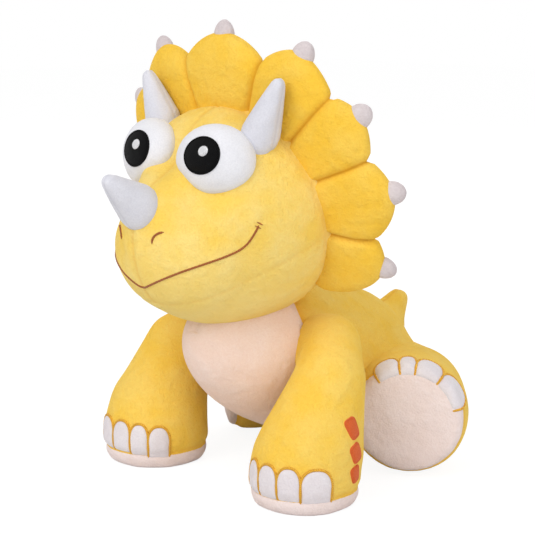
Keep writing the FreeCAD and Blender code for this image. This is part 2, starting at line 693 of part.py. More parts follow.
def check_and_write():
    """Stops at a failed object or a bad shape. Otherwise writes one file for each piece."""
    DOC.recompute()
    failed = [item.Name for item in DOC.Objects if {"Invalid", "Error"} & set(item.State)]
    if failed:
        raise RuntimeError(f"not computed: {failed}")
    for piece in PIECES:
        if piece.Shape.isNull() or not piece.Shape.isValid() or not piece.Shape.Solids:
            raise RuntimeError(f"bad shape: {piece.Label}")
    os.makedirs("parts", exist_ok=True)
    for piece in PIECES:
        piece.Shape.exportStep(f"parts/{piece.Label}.step")
        box = piece.Shape.BoundBox
        volume = piece.Shape.Volume / 1000
        print(f"{piece.Label:28s} {len(piece.Shape.Solids)} solid {volume:8.2f} cm3  "
              f"x {box.XMin:7.1f}..{box.XMax:6.1f} y {box.YMin:7.1f}..{box.YMax:6.1f} z {box.ZMin:6.1f}..{box.ZMax:6.1f}")


make_torso()
make_seam_ring("shoulder_seam", SHOULDER, size("shoulder_face"))
make_seam_ring("hip_seam", HIP, size("hip_face"))
foretoes = [size("toe_turn") + size("toe_pitch") * step for step in (-1.5, -0.5, 0.5, 1.5)]
over_leg, under_leg = make_leg("foreleg", foreleg_form, FOREFOOT, foretoes)
make_scales(over_leg, under_leg)
hindtoes = [180 + size("toe_pitch") * step for step in (-1.5, -0.5, 0.5, 1.5)]
make_leg("hindleg", hindleg_form, HINDFOOT, hindtoes)
make_head()
face_skin = head_blank("face_skin", SEWN_ON)
frill_skin = frill_form("frill_seat", SEWN_ON)
make_frill(face_skin, frill_skin)
make_brow(face_skin, frill_skin)
make_snout(face_skin)
make_tail()
check_and_write()
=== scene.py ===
"""Dresses the stuffed dinosaur: plush skins over their filling, felt, embroidery, and a studio."""

import logging
import math
from collections.abc import Callable, Sequence
from dataclasses import dataclass, field
from enum import Enum

import bmesh
import bpy
import numpy as np
from mathutils import Matrix, Vector
from mathutils.bvhtree import BVHTree


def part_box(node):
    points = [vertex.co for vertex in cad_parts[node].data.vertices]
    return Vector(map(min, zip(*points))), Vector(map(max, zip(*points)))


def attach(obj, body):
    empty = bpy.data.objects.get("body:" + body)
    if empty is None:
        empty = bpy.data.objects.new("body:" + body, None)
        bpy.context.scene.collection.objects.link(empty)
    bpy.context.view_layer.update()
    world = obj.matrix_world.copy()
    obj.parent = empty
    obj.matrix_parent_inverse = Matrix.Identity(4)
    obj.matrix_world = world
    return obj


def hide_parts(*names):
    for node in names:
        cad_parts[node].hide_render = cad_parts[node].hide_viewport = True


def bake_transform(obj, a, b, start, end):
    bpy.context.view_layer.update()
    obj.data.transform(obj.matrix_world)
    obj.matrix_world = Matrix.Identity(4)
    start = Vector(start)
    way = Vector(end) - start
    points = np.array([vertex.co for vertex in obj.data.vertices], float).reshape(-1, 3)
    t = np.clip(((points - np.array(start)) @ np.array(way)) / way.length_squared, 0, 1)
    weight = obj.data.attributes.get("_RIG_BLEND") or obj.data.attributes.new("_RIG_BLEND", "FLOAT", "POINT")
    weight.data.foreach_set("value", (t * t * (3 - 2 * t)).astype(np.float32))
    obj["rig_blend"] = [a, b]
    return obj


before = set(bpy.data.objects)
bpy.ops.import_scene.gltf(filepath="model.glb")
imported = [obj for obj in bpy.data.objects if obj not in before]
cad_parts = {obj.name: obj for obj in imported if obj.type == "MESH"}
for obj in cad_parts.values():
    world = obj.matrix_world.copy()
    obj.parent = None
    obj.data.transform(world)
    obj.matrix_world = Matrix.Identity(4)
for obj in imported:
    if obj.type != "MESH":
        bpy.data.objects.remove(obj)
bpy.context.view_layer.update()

LOG = logging.getLogger("dinosaur")
Colour = tuple[float, float, float]
Aim = Callable[[float, float], tuple[Vector, Vector]]
VOXEL = 0.004
CLOTH_STEPS = 20
ROUND_STEPS = 64
CLEAR = 0.12


class Side(Enum):
    """The animal's two sides, by the sign of x."""

    LEFT = 1
    RIGHT = -1


# ----------------------------------------------------------------------
# Finishes
# ----------------------------------------------------------------------


class Recipe:
    """A material while its nodes are put together."""

    def __init__(self, name: str) -> None:
        """Starts an empty node tree with its shader and output.

        Args:
            name: The material's name.
        """
        self.material = bpy.data.materials.new(name)
        self.material.use_nodes = True
        self.tree = self.material.node_tree
        self.tree.nodes.clear()
        self.surface = self.add("ShaderNodeBsdfPrincipled")
        self.link(self.surface, "BSDF", self.add("ShaderNodeOutputMaterial"), "Surface")
        self.place = self.add("ShaderNodeTexCoord")

    def add(self, kind: str, **inputs: object) -> bpy.types.Node:
        """Adds a node.

        Args:
            kind: The node's type name.
            inputs: Values for its sockets, with _ for a space in the socket's name.

        Returns:
            The new node.
        """
        node = self.tree.nodes.new(kind)
        for name, value in inputs.items():
            node.inputs[name.replace("_", " ")].default_value = value
        return node

    def link(self, source: bpy.types.Node, output: str, target: bpy.types.Node, into: str | int) -> None:
        """Joins one node's output to another's socket."""
        self.tree.links.new(source.outputs[output], target.inputs[into])

    def noise(self, size: float, detail: float = 3.0, roughness: float = 0.5) -> bpy.types.Node:
        """Adds noise on the object's own coordinates.

        Args:
            size: How wide one feature is, in metres.
            detail: How many finer layers it has.
            roughness: How strong the finer layers are.

        Returns:
            The noise node.
        """
        node = self.add("ShaderNodeTexNoise", Scale=1 / size, Detail=detail, Roughness=roughness)
        self.link(self.place, "Object", node, "Vector")
        return node

    def painted(self, name: str) -> bpy.types.Node:
        """Adds a node that reads a value painted on the mesh's points.

        Args:
            name: The name that the value was painted under.

        Returns:
            The node, which gives the value as Fac.
        """
        node = self.add("ShaderNodeAttribute")
        node.attribute_name = name
        return node

    def spread(self, source: bpy.types.Node, low: float, high: float, most: float = 1.0) -> bpy.types.Node:
        """Stretches a node's Fac so that low gives 0 and high gives the most.

        Args:
            source: The node whose value is stretched.
            low: The value that gives 0.
            high: The value that gives the most.
            most: The highest result.

        Returns:
            The Map Range node.
        """
        node = self.add("ShaderNodeMapRange", From_Min=low, From_Max=high, To_Max=most)
        self.link(source, "Fac", node, "Value")
        return node

    def mix(self, factor: bpy.types.Node, output: str, first: object, second: object) -> bpy.types.Node:
        """Mixes two colours, each given as a colour or as an earlier mix.

        Args:
            factor: The node that says how much of the second shows.
            output: The name of its output.
            first: A colour, or a Mix node.
            second: A colour, or a Mix node.

        Returns:
            The Mix node.
        """
        node = self.add("ShaderNodeMix")
        node.data_type = "RGBA"
        self.link(factor, output, node, 0)
        for socket, value in ((6, first), (7, second)):
            if isinstance(value, bpy.types.Node):
                self.tree.links.new(value.outputs[2], node.inputs[socket])
            else:
                node.inputs[socket].default_value = (*value, 1.0)
        return node

    def finish(
        self, colour: bpy.types.Node, bumps: Sequence[tuple[bpy.types.Node, float]], **settings: object
    ) -> bpy.types.Material:
        """Gives the shader its colour, its bumps and its plain settings.

        Args:
            colour: The Mix node that gives the base colour.
            bumps: For each layer of bumps, the node that gives its height as Fac, and its depth in metres.
            settings: Values for the shader's sockets, with _ for a space in the socket's name.

        Returns:
            The finished material.
        """
        self.tree.links.new(colour.outputs[2], self.surface.inputs["Base Color"])
        before = None
        for node, depth in bumps:
            bump = self.add("ShaderNodeBump", Strength=1.0, Distance=depth)
            self.link(node, "Fac", bump, "Height")
            if before is not None:
                self.link(before, "Normal", bump, "Normal")
            before = bump
        self.link(before, "Normal", self.surface, "Normal")
        for name, value in settings.items():
            self.surface.inputs[name.replace("_", " ")].default_value = value
        return self.material


@dataclass(frozen=True)
class Plush:
    """Short-pile plush. The nap lies in soft patches, and painted shade deepens its colour along the seams.
    """

    name: str
    colour: Colour
    deep: Colour
    pale: Colour
    tuft: float = 0.0012
    height: float = 0.0010
    patch: float = 0.024
    sheen: float = 0.3

    def material(self) -> bpy.types.Material:
        """Puts the material together.

        Returns:
            The finished material.
        """
        recipe = Recipe(self.name)
        pile = recipe.noise(self.tuft, 4.0, 0.65)
        clump = recipe.noise(self.tuft * 5, 2.0)
        nap = recipe.noise(self.patch, 3.0, 0.55)
        ground = recipe.mix(recipe.spread(nap, 0.36, 0.64, 0.6), "Result", self.colour, self.pale)
        napped = recipe.mix(recipe.spread(pile, 0.62, 0.3, 0.26), "Result", ground, self.deep)
        faced = recipe.mix(recipe.painted("muzzle"), "Fac", napped, self.pale)
        # Painted shade: the deep colour is mixed in where the seams and creases lie in shadow.
        sewn = recipe.mix(recipe.painted("crease"), "Fac", faced, self.deep)
        return recipe.finish(
            sewn,
            ((nap, self.height * 2.5), (clump, self.height), (pile, self.height)),
            Roughness=0.92,
            Specular_IOR_Level=0.15,
            Sheen_Weight=self.sheen,
            Sheen_Roughness=0.45,
            Sheen_Tint=(*self.pale, 1.0),
        )


@dataclass(frozen=True)
class Felt:
    """Pressed felt: a matt face of short tangled fibres."""

    name: str
    colour: Colour
    deep: Colour
    fibre: float = 0.0009

    def material(self) -> bpy.types.Material:
        """Puts the material together.

        Returns:
            The finished material.
        """
        recipe = Recipe(self.name)
        fibre = recipe.noise(self.fibre, 5.0, 0.7)
        cloud = recipe.noise(self.fibre * 9, 2.0)
        face = recipe.mix(recipe.spread(fibre, 0.3, 0.7, 0.6), "Result", self.deep, self.colour)
        clouded = recipe.mix(recipe.spread(cloud, 0.6, 0.35, 0.35), "Result", face, self.deep)
        return recipe.finish(
            clouded,
            ((cloud, self.fibre * 0.6), (fibre, self.fibre * 0.5)),
            Roughness=0.95,
            Specular_IOR_Level=0.1,
            Sheen_Weight=0.15,
        )


@dataclass(frozen=True)
class Thread:
    """Embroidery thread, laid side by side in a satin stitch: a soft gloss along each strand."""

    name: str
    colour: Colour
    deep: Colour
    strand: float = 0.0007
    slant: float = 35.0
    gloss: float = 0.35

    def material(self) -> bpy.types.Material:
        """Puts the material together.

        Returns:
            The finished material.
        """
        recipe = Recipe(self.name)
        turned = recipe.add("ShaderNodeMapping", Rotation=(0.0, math.radians(self.slant), 0.0))
        recipe.link(recipe.place, "Object", turned, "Vector")
        rows = recipe.add("ShaderNodeTexWave", Scale=0.31 / self.strand, Distortion=1.2, Detail=2.0)
        recipe.link(turned, "Vector", rows, "Vector")
        fuzz = recipe.noise(self.strand * 0.7, 3.0)
        face = recipe.mix(recipe.spread(rows, 0.2, 0.8), "Result", self.deep, self.colour)
        worn = recipe.mix(recipe.spread(fuzz, 0.55, 0.75, 0.5), "Result", face, self.deep)
        return recipe.finish(
            worn,
            ((rows, self.strand * 0.5), (fuzz, self.strand * 0.25)),
            Roughness=0.55,
            Specular_IOR_Level=self.gloss,
            Sheen_Weight=0.2 * self.gloss,
        )


@dataclass(frozen=True)
class Wadding:
    """Loose polyester filling: white tufts."""

    name: str
    colour: Colour
    deep: Colour

    def material(self) -> bpy.types.Material:
        """Puts the material together.

        Returns:
            The finished material.
        """
        recipe = Recipe(self.name)
        tufts = recipe.noise(0.008, 5.0, 0.7)
        fibre = recipe.noise(0.001, 3.0)
        face = recipe.mix(recipe.spread(tufts, 0.3, 0.7), "Result", self.deep, self.colour)
        return recipe.finish(face, ((tufts, 0.003), (fibre, 0.0005)), Roughness=1.0, Sheen_Weight=0.2)


def seen_directly(tree: bpy.types.NodeTree) -> bpy.types.NodeSocket:
    """Adds nodes that tell the rays which show a surface from those which only light it.

    Args:
        tree: The node tree of a material or of the world.

    Returns:
        A socket that is 1 for the first kind and 0 for the second.
    """
    path = tree.nodes.new("ShaderNodeLightPath")
    seen = path.outputs["Is Camera Ray"]
    for other in ("Is Glossy Ray", "Is Transmission Ray"):
        either = tree.nodes.new("ShaderNodeMath")
        either.operation = "MAXIMUM"
        tree.links.new(seen, either.inputs[0])
        tree.links.new(path.outputs[other], either.inputs[1])
        seen = either.outputs["Value"]
    return seen


@dataclass(frozen=True)
class Ground:
    """The studio floor: white where the camera looks at it, with the animal's shadow left in."""

    name: str
    colour: Colour
    shadow_kept: float
    glow: float = 1.13

    def material(self) -> bpy.types.Material:
        """Puts the material together.

        Returns:
            The finished material.
        """
        recipe = Recipe(self.name)
        grain = recipe.noise(0.05, 2.0)
        face = recipe.mix(recipe.spread(grain, 0.3, 0.7, 0.02), "Result", self.colour, (1.0, 1.0, 1.0))
        material = recipe.finish(face, ((grain, 0.0001),), Roughness=0.9, Specular_IOR_Level=0.0)
        white = recipe.add("ShaderNodeEmission", Strength=self.glow)
        share = recipe.add("ShaderNodeMath")
        share.operation = "MULTIPLY"
        share.inputs[1].default_value = 1.0 - self.shadow_kept
        recipe.tree.links.new(seen_directly(recipe.tree), share.inputs[0])
        both = recipe.add("ShaderNodeMixShader")
        recipe.link(share, "Value", both, 0)
        recipe.link(recipe.surface, "BSDF", both, 1)
        recipe.link(white, "Emission", both, 2)
        output = next(node for node in recipe.tree.nodes if node.type == "OUTPUT_MATERIAL")
        recipe.link(both, "Shader", output, "Surface")
        return material


class Dye(Enum):
    """The plush's colours: each a colour, a deeper one for its darker tufts and for the painted shade along
    its seams, and a paler one on its nap.
    """

    SUNNY = ((0.96, 0.63, 0.088), (0.84, 0.37, 0.018), (0.97, 0.72, 0.19))
    BRIGHT = ((0.96, 0.67, 0.125), (0.85, 0.40, 0.024), (0.97, 0.79, 0.31))
    AMBER = ((0.96, 0.60, 0.058), (0.80, 0.34, 0.010), (0.97, 0.68, 0.13))
    PEACH = ((0.92, 0.71, 0.61), (0.76, 0.47, 0.36), (0.95, 0.79, 0.72))
    SHELL = ((0.84, 0.71, 0.68), (0.70, 0.52, 0.47), (0.89, 0.79, 0.78))
    SNOW = ((0.75, 0.75, 0.79), (0.50, 0.50, 0.56), (0.85, 0.85, 0.89))
    FROST = ((0.66, 0.66, 0.72), (0.42, 0.42, 0.50), (0.76, 0.76, 0.82))
    NAIL = ((0.74, 0.69, 0.72), (0.55, 0.48, 0.52), (0.82, 0.79, 0.82))
    # Painted shade: the tips' white plush, greyed to pink as the tips look in shadow.
    SHADED_TIP_WHITE = ((0.62, 0.55, 0.56), (0.42, 0.33, 0.34), (0.74, 0.68, 0.69))
    RUST = ((0.87, 0.20, 0.055), (0.62, 0.10, 0.02), (0.92, 0.30, 0.1))


class Finishes:
    """Every finish on the animal, by its name."""

    def __init__(self) -> None:
        """Mixes them all once."""
        finishes = (
            Plush("yellow_plush", *Dye.SUNNY.value),
            Plush("face_plush", *Dye.BRIGHT.value),
            Plush("frill_plush", *Dye.AMBER.value),
            Plush("pink_plush", *Dye.PEACH.value, height=0.0007),
            Plush("sole_plush", *Dye.SHELL.value, height=0.0006),
            Plush("white_plush", *Dye.SNOW.value, height=0.0003, tuft=0.0010),
            Plush("horn_plush", *Dye.FROST.value, height=0.0004, tuft=0.0010),
            Plush("nail_plush", *Dye.NAIL.value, height=0.0004),
            # Painted shade on the white frill tips.
            Plush("tip_plush", *Dye.SHADED_TIP_WHITE.value, height=0.0005),
            Felt("orange_felt", *Dye.RUST.value[:2]),
            Plush("orange_plush", *Dye.RUST.value),
            Thread("black_thread", (0.006, 0.006, 0.007), (0.002, 0.002, 0.002), gloss=0.06),
            Thread("white_thread", (0.9, 0.9, 0.92), (0.7, 0.7, 0.74)),
            Thread("brown_thread", (0.52, 0.15, 0.03), (0.27, 0.07, 0.015)),
            Thread("gold_thread", (0.93, 0.54, 0.045), (0.74, 0.33, 0.02)),
            Wadding("filling", (0.9, 0.9, 0.9), (0.75, 0.75, 0.76)),
            Felt("seam_tape", (0.75, 0.72, 0.66), (0.55, 0.52, 0.47)),
        )
        self.by_name: dict[str, bpy.types.Material] = {finish.name: finish.material() for finish in finishes}

    def dress(
        self, form: "Form", body: str, slot: str, nodes: Sequence[str] = (), fill: float = 0.0, look: str = ""
    ) -> None:
        """Gives a finished form its material and its body, and hides the nodes that it stands for.

        Args:
            form: The form.
            body: The body that it rides on, or nothing where it is blended between two.
            slot: The record's name for its finish.
            nodes: The nodes that it stands for.
            fill: How full it is stuffed, or 0 where it isn't; not used.
            look: The finish, where it isn't the slot's own.
        """
        made = form.object
        made.data.materials.clear()
        made.data.materials.append(self.by_name[look or slot])
        for face in made.data.polygons:
            face.use_smooth = True
        if body:
            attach(made, body)
        if nodes:
            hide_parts(*nodes)
        LOG.info("%s: %d faces", made.name, len(made.data.polygons))

    def dress_pair(
        self, form: "Form", body: str, slot: str, node: str, fill: float = 0.0, look: str = ""
    ) -> None:
        """Dresses a left form and its mirror image.

        Args:
            form: The left form.
            body: The body that both ride on.
            slot: The record's name for their finish.
            node: The node that each stands for, without its side.
            fill: How full they are stuffed, or 0 where they aren't.
            look: The finish, where it isn't the slot's own.
        """
        other = form.mirrored(form.name.replace("_left", "_right"))
        for made, word in ((form, "left"), (other, "right")):
            self.dress(made, body, slot, (f"{node}_{word}",), fill, look)


# ----------------------------------------------------------------------
# Forms
# ----------------------------------------------------------------------


class Form:
    """A piece while it is shaped, in metres, in the row frame."""

    def __init__(self, name: str, mesh: bpy.types.Mesh) -> None:
        """Puts the mesh in the scene under a name."""
        self.object = bpy.data.objects.new(name, mesh)
        bpy.context.scene.collection.objects.link(self.object)

    @classmethod
    def of(cls, name: str, points: Sequence, faces: Sequence) -> "Form":
        """Makes a form from points and faces.

        Args:
            name: The form's name.
            points: Its points, each x, y, z.
            faces: Its faces, each its corners' numbers.

        Returns:
            The form.
        """
        mesh = bpy.data.meshes.new(name)
        mesh.from_pydata([tuple(point) for point in points], [], faces)
        mesh.update()
        return cls(name, mesh)

    @property
    def name(self) -> str:
        """The piece's name."""
        return self.object.name

    def read(self, what: str = "co") -> np.ndarray:
        """Reads the points, or their normals.

        Args:
            what: co for the points, or normal for their normals.

        Returns:
            A row of x, y, z for each point.
        """
        mesh = self.object.data
        source = mesh.vertices if what == "co" else mesh.vertex_normals
        flat = np.empty(len(mesh.vertices) * 3, np.float32)
        source.foreach_get("co" if what == "co" else "vector", flat)
        return flat.reshape(-1, 3).astype(float)

    def seen_from(self, place: Matrix) -> np.ndarray:
        """Returns the points in a place's own frame."""
        return (self.read() - np.array(place.translation)) @ np.array(place.to_3x3())

    def write(self, points: np.ndarray) -> None:
        """Moves the points."""
        self.object.data.vertices.foreach_set("co", points.astype(np.float32).ravel())
        self.object.data.update()

    def press(self, depth: np.ndarray) -> None:
        """Moves each point in by its depth, or out where that is negative."""
        self.write(self.read() - self.read("normal") * depth[:, None])

    def paint(self, name: str, values: np.ndarray) -> None:
        """Keeps a value for each point, for the materials to read.

        Args:
            name: The name that a material reads it under.
            values: A value for each point, from 0 to 1.
        """
        kept = self.object.data.attributes
        layer = kept.get(name) or kept.new(name, "FLOAT", "POINT")
        layer.data.foreach_set("value", np.clip(values, 0, 1).astype(np.float32))

    def painted(self, name: str) -> np.ndarray:
        """Reads what was painted.

        Args:
            name: The name that it was painted under.

        Returns:
            A value for each point, which is 0 where nothing was painted.
        """
        values = np.zeros(len(self.object.data.vertices), np.float32)
        layer = self.object.data.attributes.get(name)
        if layer is not None:
            layer.data.foreach_get("value", values)
        return values.astype(float)

    def bake(self) -> None:
        """Makes what the modifiers give the mesh itself."""
        graph = bpy.context.evaluated_depsgraph_get()
        made = bpy.data.meshes.new_from_object(self.object.evaluated_get(graph))
        self.object.modifiers.clear()
        self.object.data = made

    def remesh(self, voxel: float = VOXEL) -> None:
        """Gives a closed form one even skin.

        Args:
            voxel: How coarse the skin is, in metres.
        """
        change = self.object.modifiers.new("skin", "REMESH")
        change.mode = "VOXEL"
        change.voxel_size = voxel
        self.bake()

    def smooth(self, rounds: int) -> None:
        """Softens the skin's corners.

        Args:
            rounds: How many times they are softened.
        """
        change = self.object.modifiers.new("soften", "SMOOTH")
        change.factor = 0.5
        change.iterations = rounds
        self.bake()

    def refine(self) -> None:
        """Divides the skin's faces once and rounds them."""
        change = self.object.modifiers.new("refine", "SUBSURF")
        change.levels = 1
        self.bake()

    def stuff(
        self, pressure: float, cap: float, pinned: np.ndarray | None = None, stiffness: float = 12.0
    ) -> None:
        """Blows the skin up as filling does, so that it swells and wrinkles.

        Args:
            pressure: How hard the filling presses.
            cap: The furthest that a point may move, in metres.
            pinned: How firmly each point is held, from 0 to 1.
            stiffness: How hard the cloth is to stretch.
        """
        before = self.read()
        change = self.object.modifiers.new("filling", "CLOTH")
        cloth = change.settings
        cloth.use_pressure = True
        cloth.uniform_pressure_force = pressure
        cloth.effector_weights.gravity = 0
        cloth.tension_stiffness = cloth.compression_stiffness = stiffness
        cloth.shear_stiffness = stiffness * 0.5
        cloth.bending_stiffness = 0.4
        cloth.quality = 5
        change.collision_settings.use_collision = False
        if pinned is not None:
            group = self.object.vertex_groups.new(name="sewn")
            for index, weight in enumerate(pinned):
                if weight > 0:
                    group.add([index], float(weight), "REPLACE")
            cloth.vertex_group_mass = group.name
        change.point_cache.frame_start = 1
        change.point_cache.frame_end = CLOTH_STEPS
        for step in range(1, CLOTH_STEPS + 1):
            bpy.context.scene.frame_set(step)
        self.bake()
        bpy.context.scene.frame_set(1)
        self.object.vertex_groups.clear()
        shift = self.read() - before
        length = np.linalg.norm(shift, axis=1, keepdims=True)
        self.write(before + shift * np.minimum(1, cap / np.maximum(length, 1e-9)))
        LOG.info("%s swelled by %.1f mm at most", self.name, 1000 * min(cap, float(length.max())))

    def tree(self) -> BVHTree:
        """Makes a search tree of the faces.

        Returns:
            The tree.
        """
        mesh = self.object.data
        points = [vert.co for vert in mesh.vertices]
        return BVHTree.FromPolygons(points, [face.vertices for face in mesh.polygons])

    def crease(self, distance: np.ndarray, depth: float, width: float, tone: float = 0.55) -> None:
        """Sews a seam: the skin dips along it, with small puckers, and painted shade darkens its colour.

        Args:
            distance: How far each point lies from the seam, in metres.
            depth: How far the skin dips.
            width: How wide the dip is.
            tone: How strongly the painted shade darkens the colour at the seam.
        """
        points = self.read()
        waves = np.sin(points @ np.array([410.0, 530.0, 470.0]))
        pucker = waves * np.sin(points @ np.array([-290.0, 350.0, 610.0]))
        near = np.exp(-((distance / width) ** 2))
        wide = np.exp(-((distance / (2.6 * width)) ** 2)) - near
        self.press(depth * near + 0.12 * depth * wide * pucker)
        # Painted shade: the colour is darkened along the seam, where the crease lies in shadow.
        self.paint("crease", self.painted("crease") + tone * np.exp(-((distance / (0.45 * width)) ** 2)))

    def rumple(self, depth: float, size: float) -> None:
        """Gives the skin slow, shallow unevenness, as filling does.

        Args:
            depth: How deep the unevenness is, in metres.
            size: About how wide one swell is, in metres.
        """
        points = self.read() / size
        swell = np.zeros(len(points))
        for number in range(4):
            turn = (math.sin(1.3 + 2.1 * number), math.cos(0.7 + 1.7 * number), math.sin(2.9 * number))
            wave = np.sin(points @ np.array(turn) * (1.5 + 0.7 * number) + 1.9 * number)
            swell += wave / (1 + 0.5 * number)
        self.press(depth * swell / 2.2)

    def mirrored(self, name: str) -> "Form":
        """Makes the mirror image across the middle of the animal.

        Args:
            name: The mirror image's name.

        Returns:
            The mirror image.
        """
        mesh = self.object.data.copy()
        mesh.transform(Matrix.Scale(-1, 4, (1, 0, 0)))
        mesh.flip_normals()
        return Form(name, mesh)

    def turned_over(self, name: str) -> "Form":
        """Makes the mirror image, and takes the form itself away.

        Args:
            name: The mirror image's name.

        Returns:
            The mirror image.
        """
        other = self.mirrored(name)
        bpy.data.objects.remove(self.object)
        return other


def outside(tree: BVHTree, points: np.ndarray) -> np.ndarray:
    """How far points lie from a closed skin.

    Args:
        tree: The skin's search tree.
        points: Rows of x, y, z.

    Returns:
        A distance for each, negative inside.
    """
    gaps = np.empty(len(points))
    for index, point in enumerate(points):
        spot = Vector(point)
        near, normal, _, gap = tree.find_nearest(spot)
        gaps[index] = gap if (spot - near).dot(normal) >= 0 else -gap
    return gaps


def strips(rows: int, columns: int, start: int = 0, looped: bool = False) -> list[tuple[int, ...]]:
    """Numbers the corners of the faces between rows of points.

    Args:
        rows: How many strips of faces there are.
        columns: How many faces a strip has.
        start: The first point's number.
        looped: Whether a strip's end meets its start.

    Returns:
        The four corners of each face.
    """
    wide = columns if looped else columns + 1
    faces = []
    for row in range(rows):
        for column in range(columns):
            here, beside = start + row * wide + column, start + row * wide + (column + 1) % wide
            faces.append((here, here + wide, beside + wide, beside))
    return faces


def fill_corner(first: Form, second: Form, reach: float) -> None:
    """Swells two forms where they meet, so that one runs into the other.

    Args:
        first: One form.
        second: The form that it meets.
        reach: How far from the other's skin the swelling starts, in metres.
    """
    gaps = (outside(second.tree(), first.read()), outside(first.tree(), second.read()))
    for form, gap in zip((first, second), gaps):
        near = np.clip(1 - np.abs(gap) / reach, 0, 1)
        form.press(-reach / 4 * near * near)


class Clay:
    """Closed lumps that are pressed together into one soft form."""

    def __init__(self) -> None:
        """Starts with no lumps."""
        self.lumps = bmesh.new()

    def egg(
        self, place: Matrix, across: float, high: float, front: float, back: float, point: float = 2.0
    ) -> "Clay":
        """Adds an egg.

        Args:
            place: Its middle, with z towards its front.
            across: Half its width.
            high: Half its height.
            front: Its length in front of its middle.
            back: Its length behind its middle.
            point: 2 for a round front, and less for a pointed one.

        Returns:
            The clay.
        """
        made = bmesh.ops.create_icosphere(self.lumps, subdivisions=5, radius=1.0)
        for vert in made["verts"]:
            x, y, z = vert.co
            round_width = math.sqrt(max(1e-9, 1 - z * z))
            width = (1 - max(0.0, z) ** point) ** (1 / point) if z > 0 else round_width
            narrowing = width / round_width
            vert.co = place @ Vector((x * across * narrowing, y * high, z * (front if z > 0 else back)))
        return self

    def limb(self, start: Vector, end: Vector, start_radius: float, end_radius: float) -> "Clay":
        """Adds a round-ended limb.

        Args:
            start: The middle of one end.
            end: The middle of the other.
            start_radius: The first end's radius.
            end_radius: The other end's radius.

        Returns:
            The clay.
        """
        line = end - start
        turn = line.to_track_quat("Z", "Y").to_matrix().to_4x4()
        middle = Matrix.Translation((start + end) / 2) @ turn
        bmesh.ops.create_cone(
            self.lumps,
            cap_ends=True,
            segments=ROUND_STEPS,
            radius1=start_radius,
            radius2=end_radius,
            depth=line.length,
            matrix=middle,
        )
        for spot, radius in ((start, start_radius), (end, end_radius)):
            at_end = Matrix.Translation(spot)
            bmesh.ops.create_icosphere(self.lumps, subdivisions=4, radius=radius, matrix=at_end)
        return self

    def turned(self, place: Matrix, profile: Sequence[tuple[float, float]]) -> "Clay":
        """Adds a turned lump.

        Args:
            place: Its foot, with z along its axis.
            profile: Radius and height of points along its side, from the bottom's middle to the top's.

        Returns:
            The clay.
        """
        rings, steps = [], ROUND_STEPS
        for radius, height in profile:
            if radius == 0:
                rings.append([self.lumps.verts.new(place @ Vector((0, 0, height)))])
                continue
            turns = [2 * math.pi * step / steps for step in range(steps)]
            spots = [Vector((radius * math.cos(turn), radius * math.sin(turn), height)) for turn in turns]
            rings.append([self.lumps.verts.new(place @ spot) for spot in spots])
        for low, high in zip(rings, rings[1:]):
            for step in range(steps):
                after = (step + 1) % steps
                corners = [low[step % len(low)], low[after % len(low)]]
                corners += [high[after % len(high)], high[step % len(high)]]
                self.lumps.faces.new(list(dict.fromkeys(corners)))
        return self

    def pressed(self, name: str, voxel: float = VOXEL, rounds: int = 6) -> Form:
        """Presses the lumps together.

        Args:
            name: The new form's name.
            voxel: How coarse its skin is.
            rounds: How much its hollows are softened.

        Returns:
            The form.
        """
        mesh = bpy.data.meshes.new(name)
        self.lumps.to_mesh(mesh)
        self.lumps.free()
        form = Form(name, mesh)
        form.remesh(voxel)
        form.smooth(rounds)
        return form

    def stuffed(
        self, name: str, pressure: float, cap: float, voxel: float = VOXEL, rounds: int = 6
    ) -> Form:
        """Presses the lumps together, stuffs the form, and refines its skin.

        Args:
            name: The new form's name.
            pressure: How hard the filling presses.
            cap: The furthest that a point may move, in metres.
            voxel: How coarse the skin is before it is refined.
            rounds: How much its hollows are softened.

        Returns:
            The form.
        """
        form = self.pressed(name, voxel, rounds)
        form.stuff(pressure, cap)
        form.refine()
        return form


@dataclass(frozen=True)
class Outline:
    """A sewn patch's cut shape about its middle. A squareness of 2 is round, and more is squarer."""

    half_width: float
    half_height: float
    top: float = 2.0
    bottom: float = 2.0

    def edge(self, turn: float) -> tuple[float, float]:
        """Finds a point of the edge.

        Args:
            turn: The point's turn from the right, in radians.

        Returns:
            Its places across and up.
        """
        across, up = math.cos(turn), math.sin(turn)
        square = self.top if up >= 0 else self.bottom
        return (
            math.copysign(abs(across) ** (2 / square), across) * self.half_width,
            math.copysign(abs(up) ** (2 / square), up) * self.half_height,
        )


@dataclass(frozen=True)
class Patch:
    """Cloth sewn on a form: it follows the form's skin, and stands a little proud in its middle."""

    outline: Outline
    lift: float
    rim: float = -0.0004
    rings: int = 10
    spokes: int = 72

    def lay(self, name: str, skin: BVHTree, aim: Aim) -> Form:
        """Lays the patch on a skin.

        Args:
            name: The piece's name.
            skin: The search tree of the form that it is sewn on.
            aim: Gives the start and the direction of a line that meets the skin at a point of the cut shape.

        Returns:
            The patch.
        """
        points = []
        for ring in range(self.rings + 1):
            out = (ring / self.rings) ** 0.8
            proud = self.rim + (self.lift - self.rim) * math.sqrt(max(0.0, 1 - out**6))
            for spoke in range(self.spokes if ring else 1):
                across, up = self.outline.edge(2 * math.pi * spoke / self.spokes)
                points.append(on_skin(skin, aim, across * out, up * out, proud))
        faces = [(0, 1 + spoke, 1 + (spoke + 1) % self.spokes) for spoke in range(self.spokes)]
        return Form.of(name, points, faces + strips(self.rings - 1, self.spokes, 1, looped=True))


def on_skin(skin: BVHTree, aim: Aim, across: float, up: float, proud: float) -> Vector:
    """Finds where a line meets a skin, and moves that point out.

    Args:
        skin: The skin's search tree.
        aim: Gives a line for each point of a cut shape.
        across: The point's place across.
        up: The point's place up.
        proud: How far it is moved out, in metres.

    Returns:
        The moved point.
    """
    start, direction = aim(across, up)
    spot, normal, _, _ = skin.ray_cast(start, direction)
    if spot is None:
        spot, normal, _, _ = skin.find_nearest(start + direction * 0.1)
    return spot + normal * proud


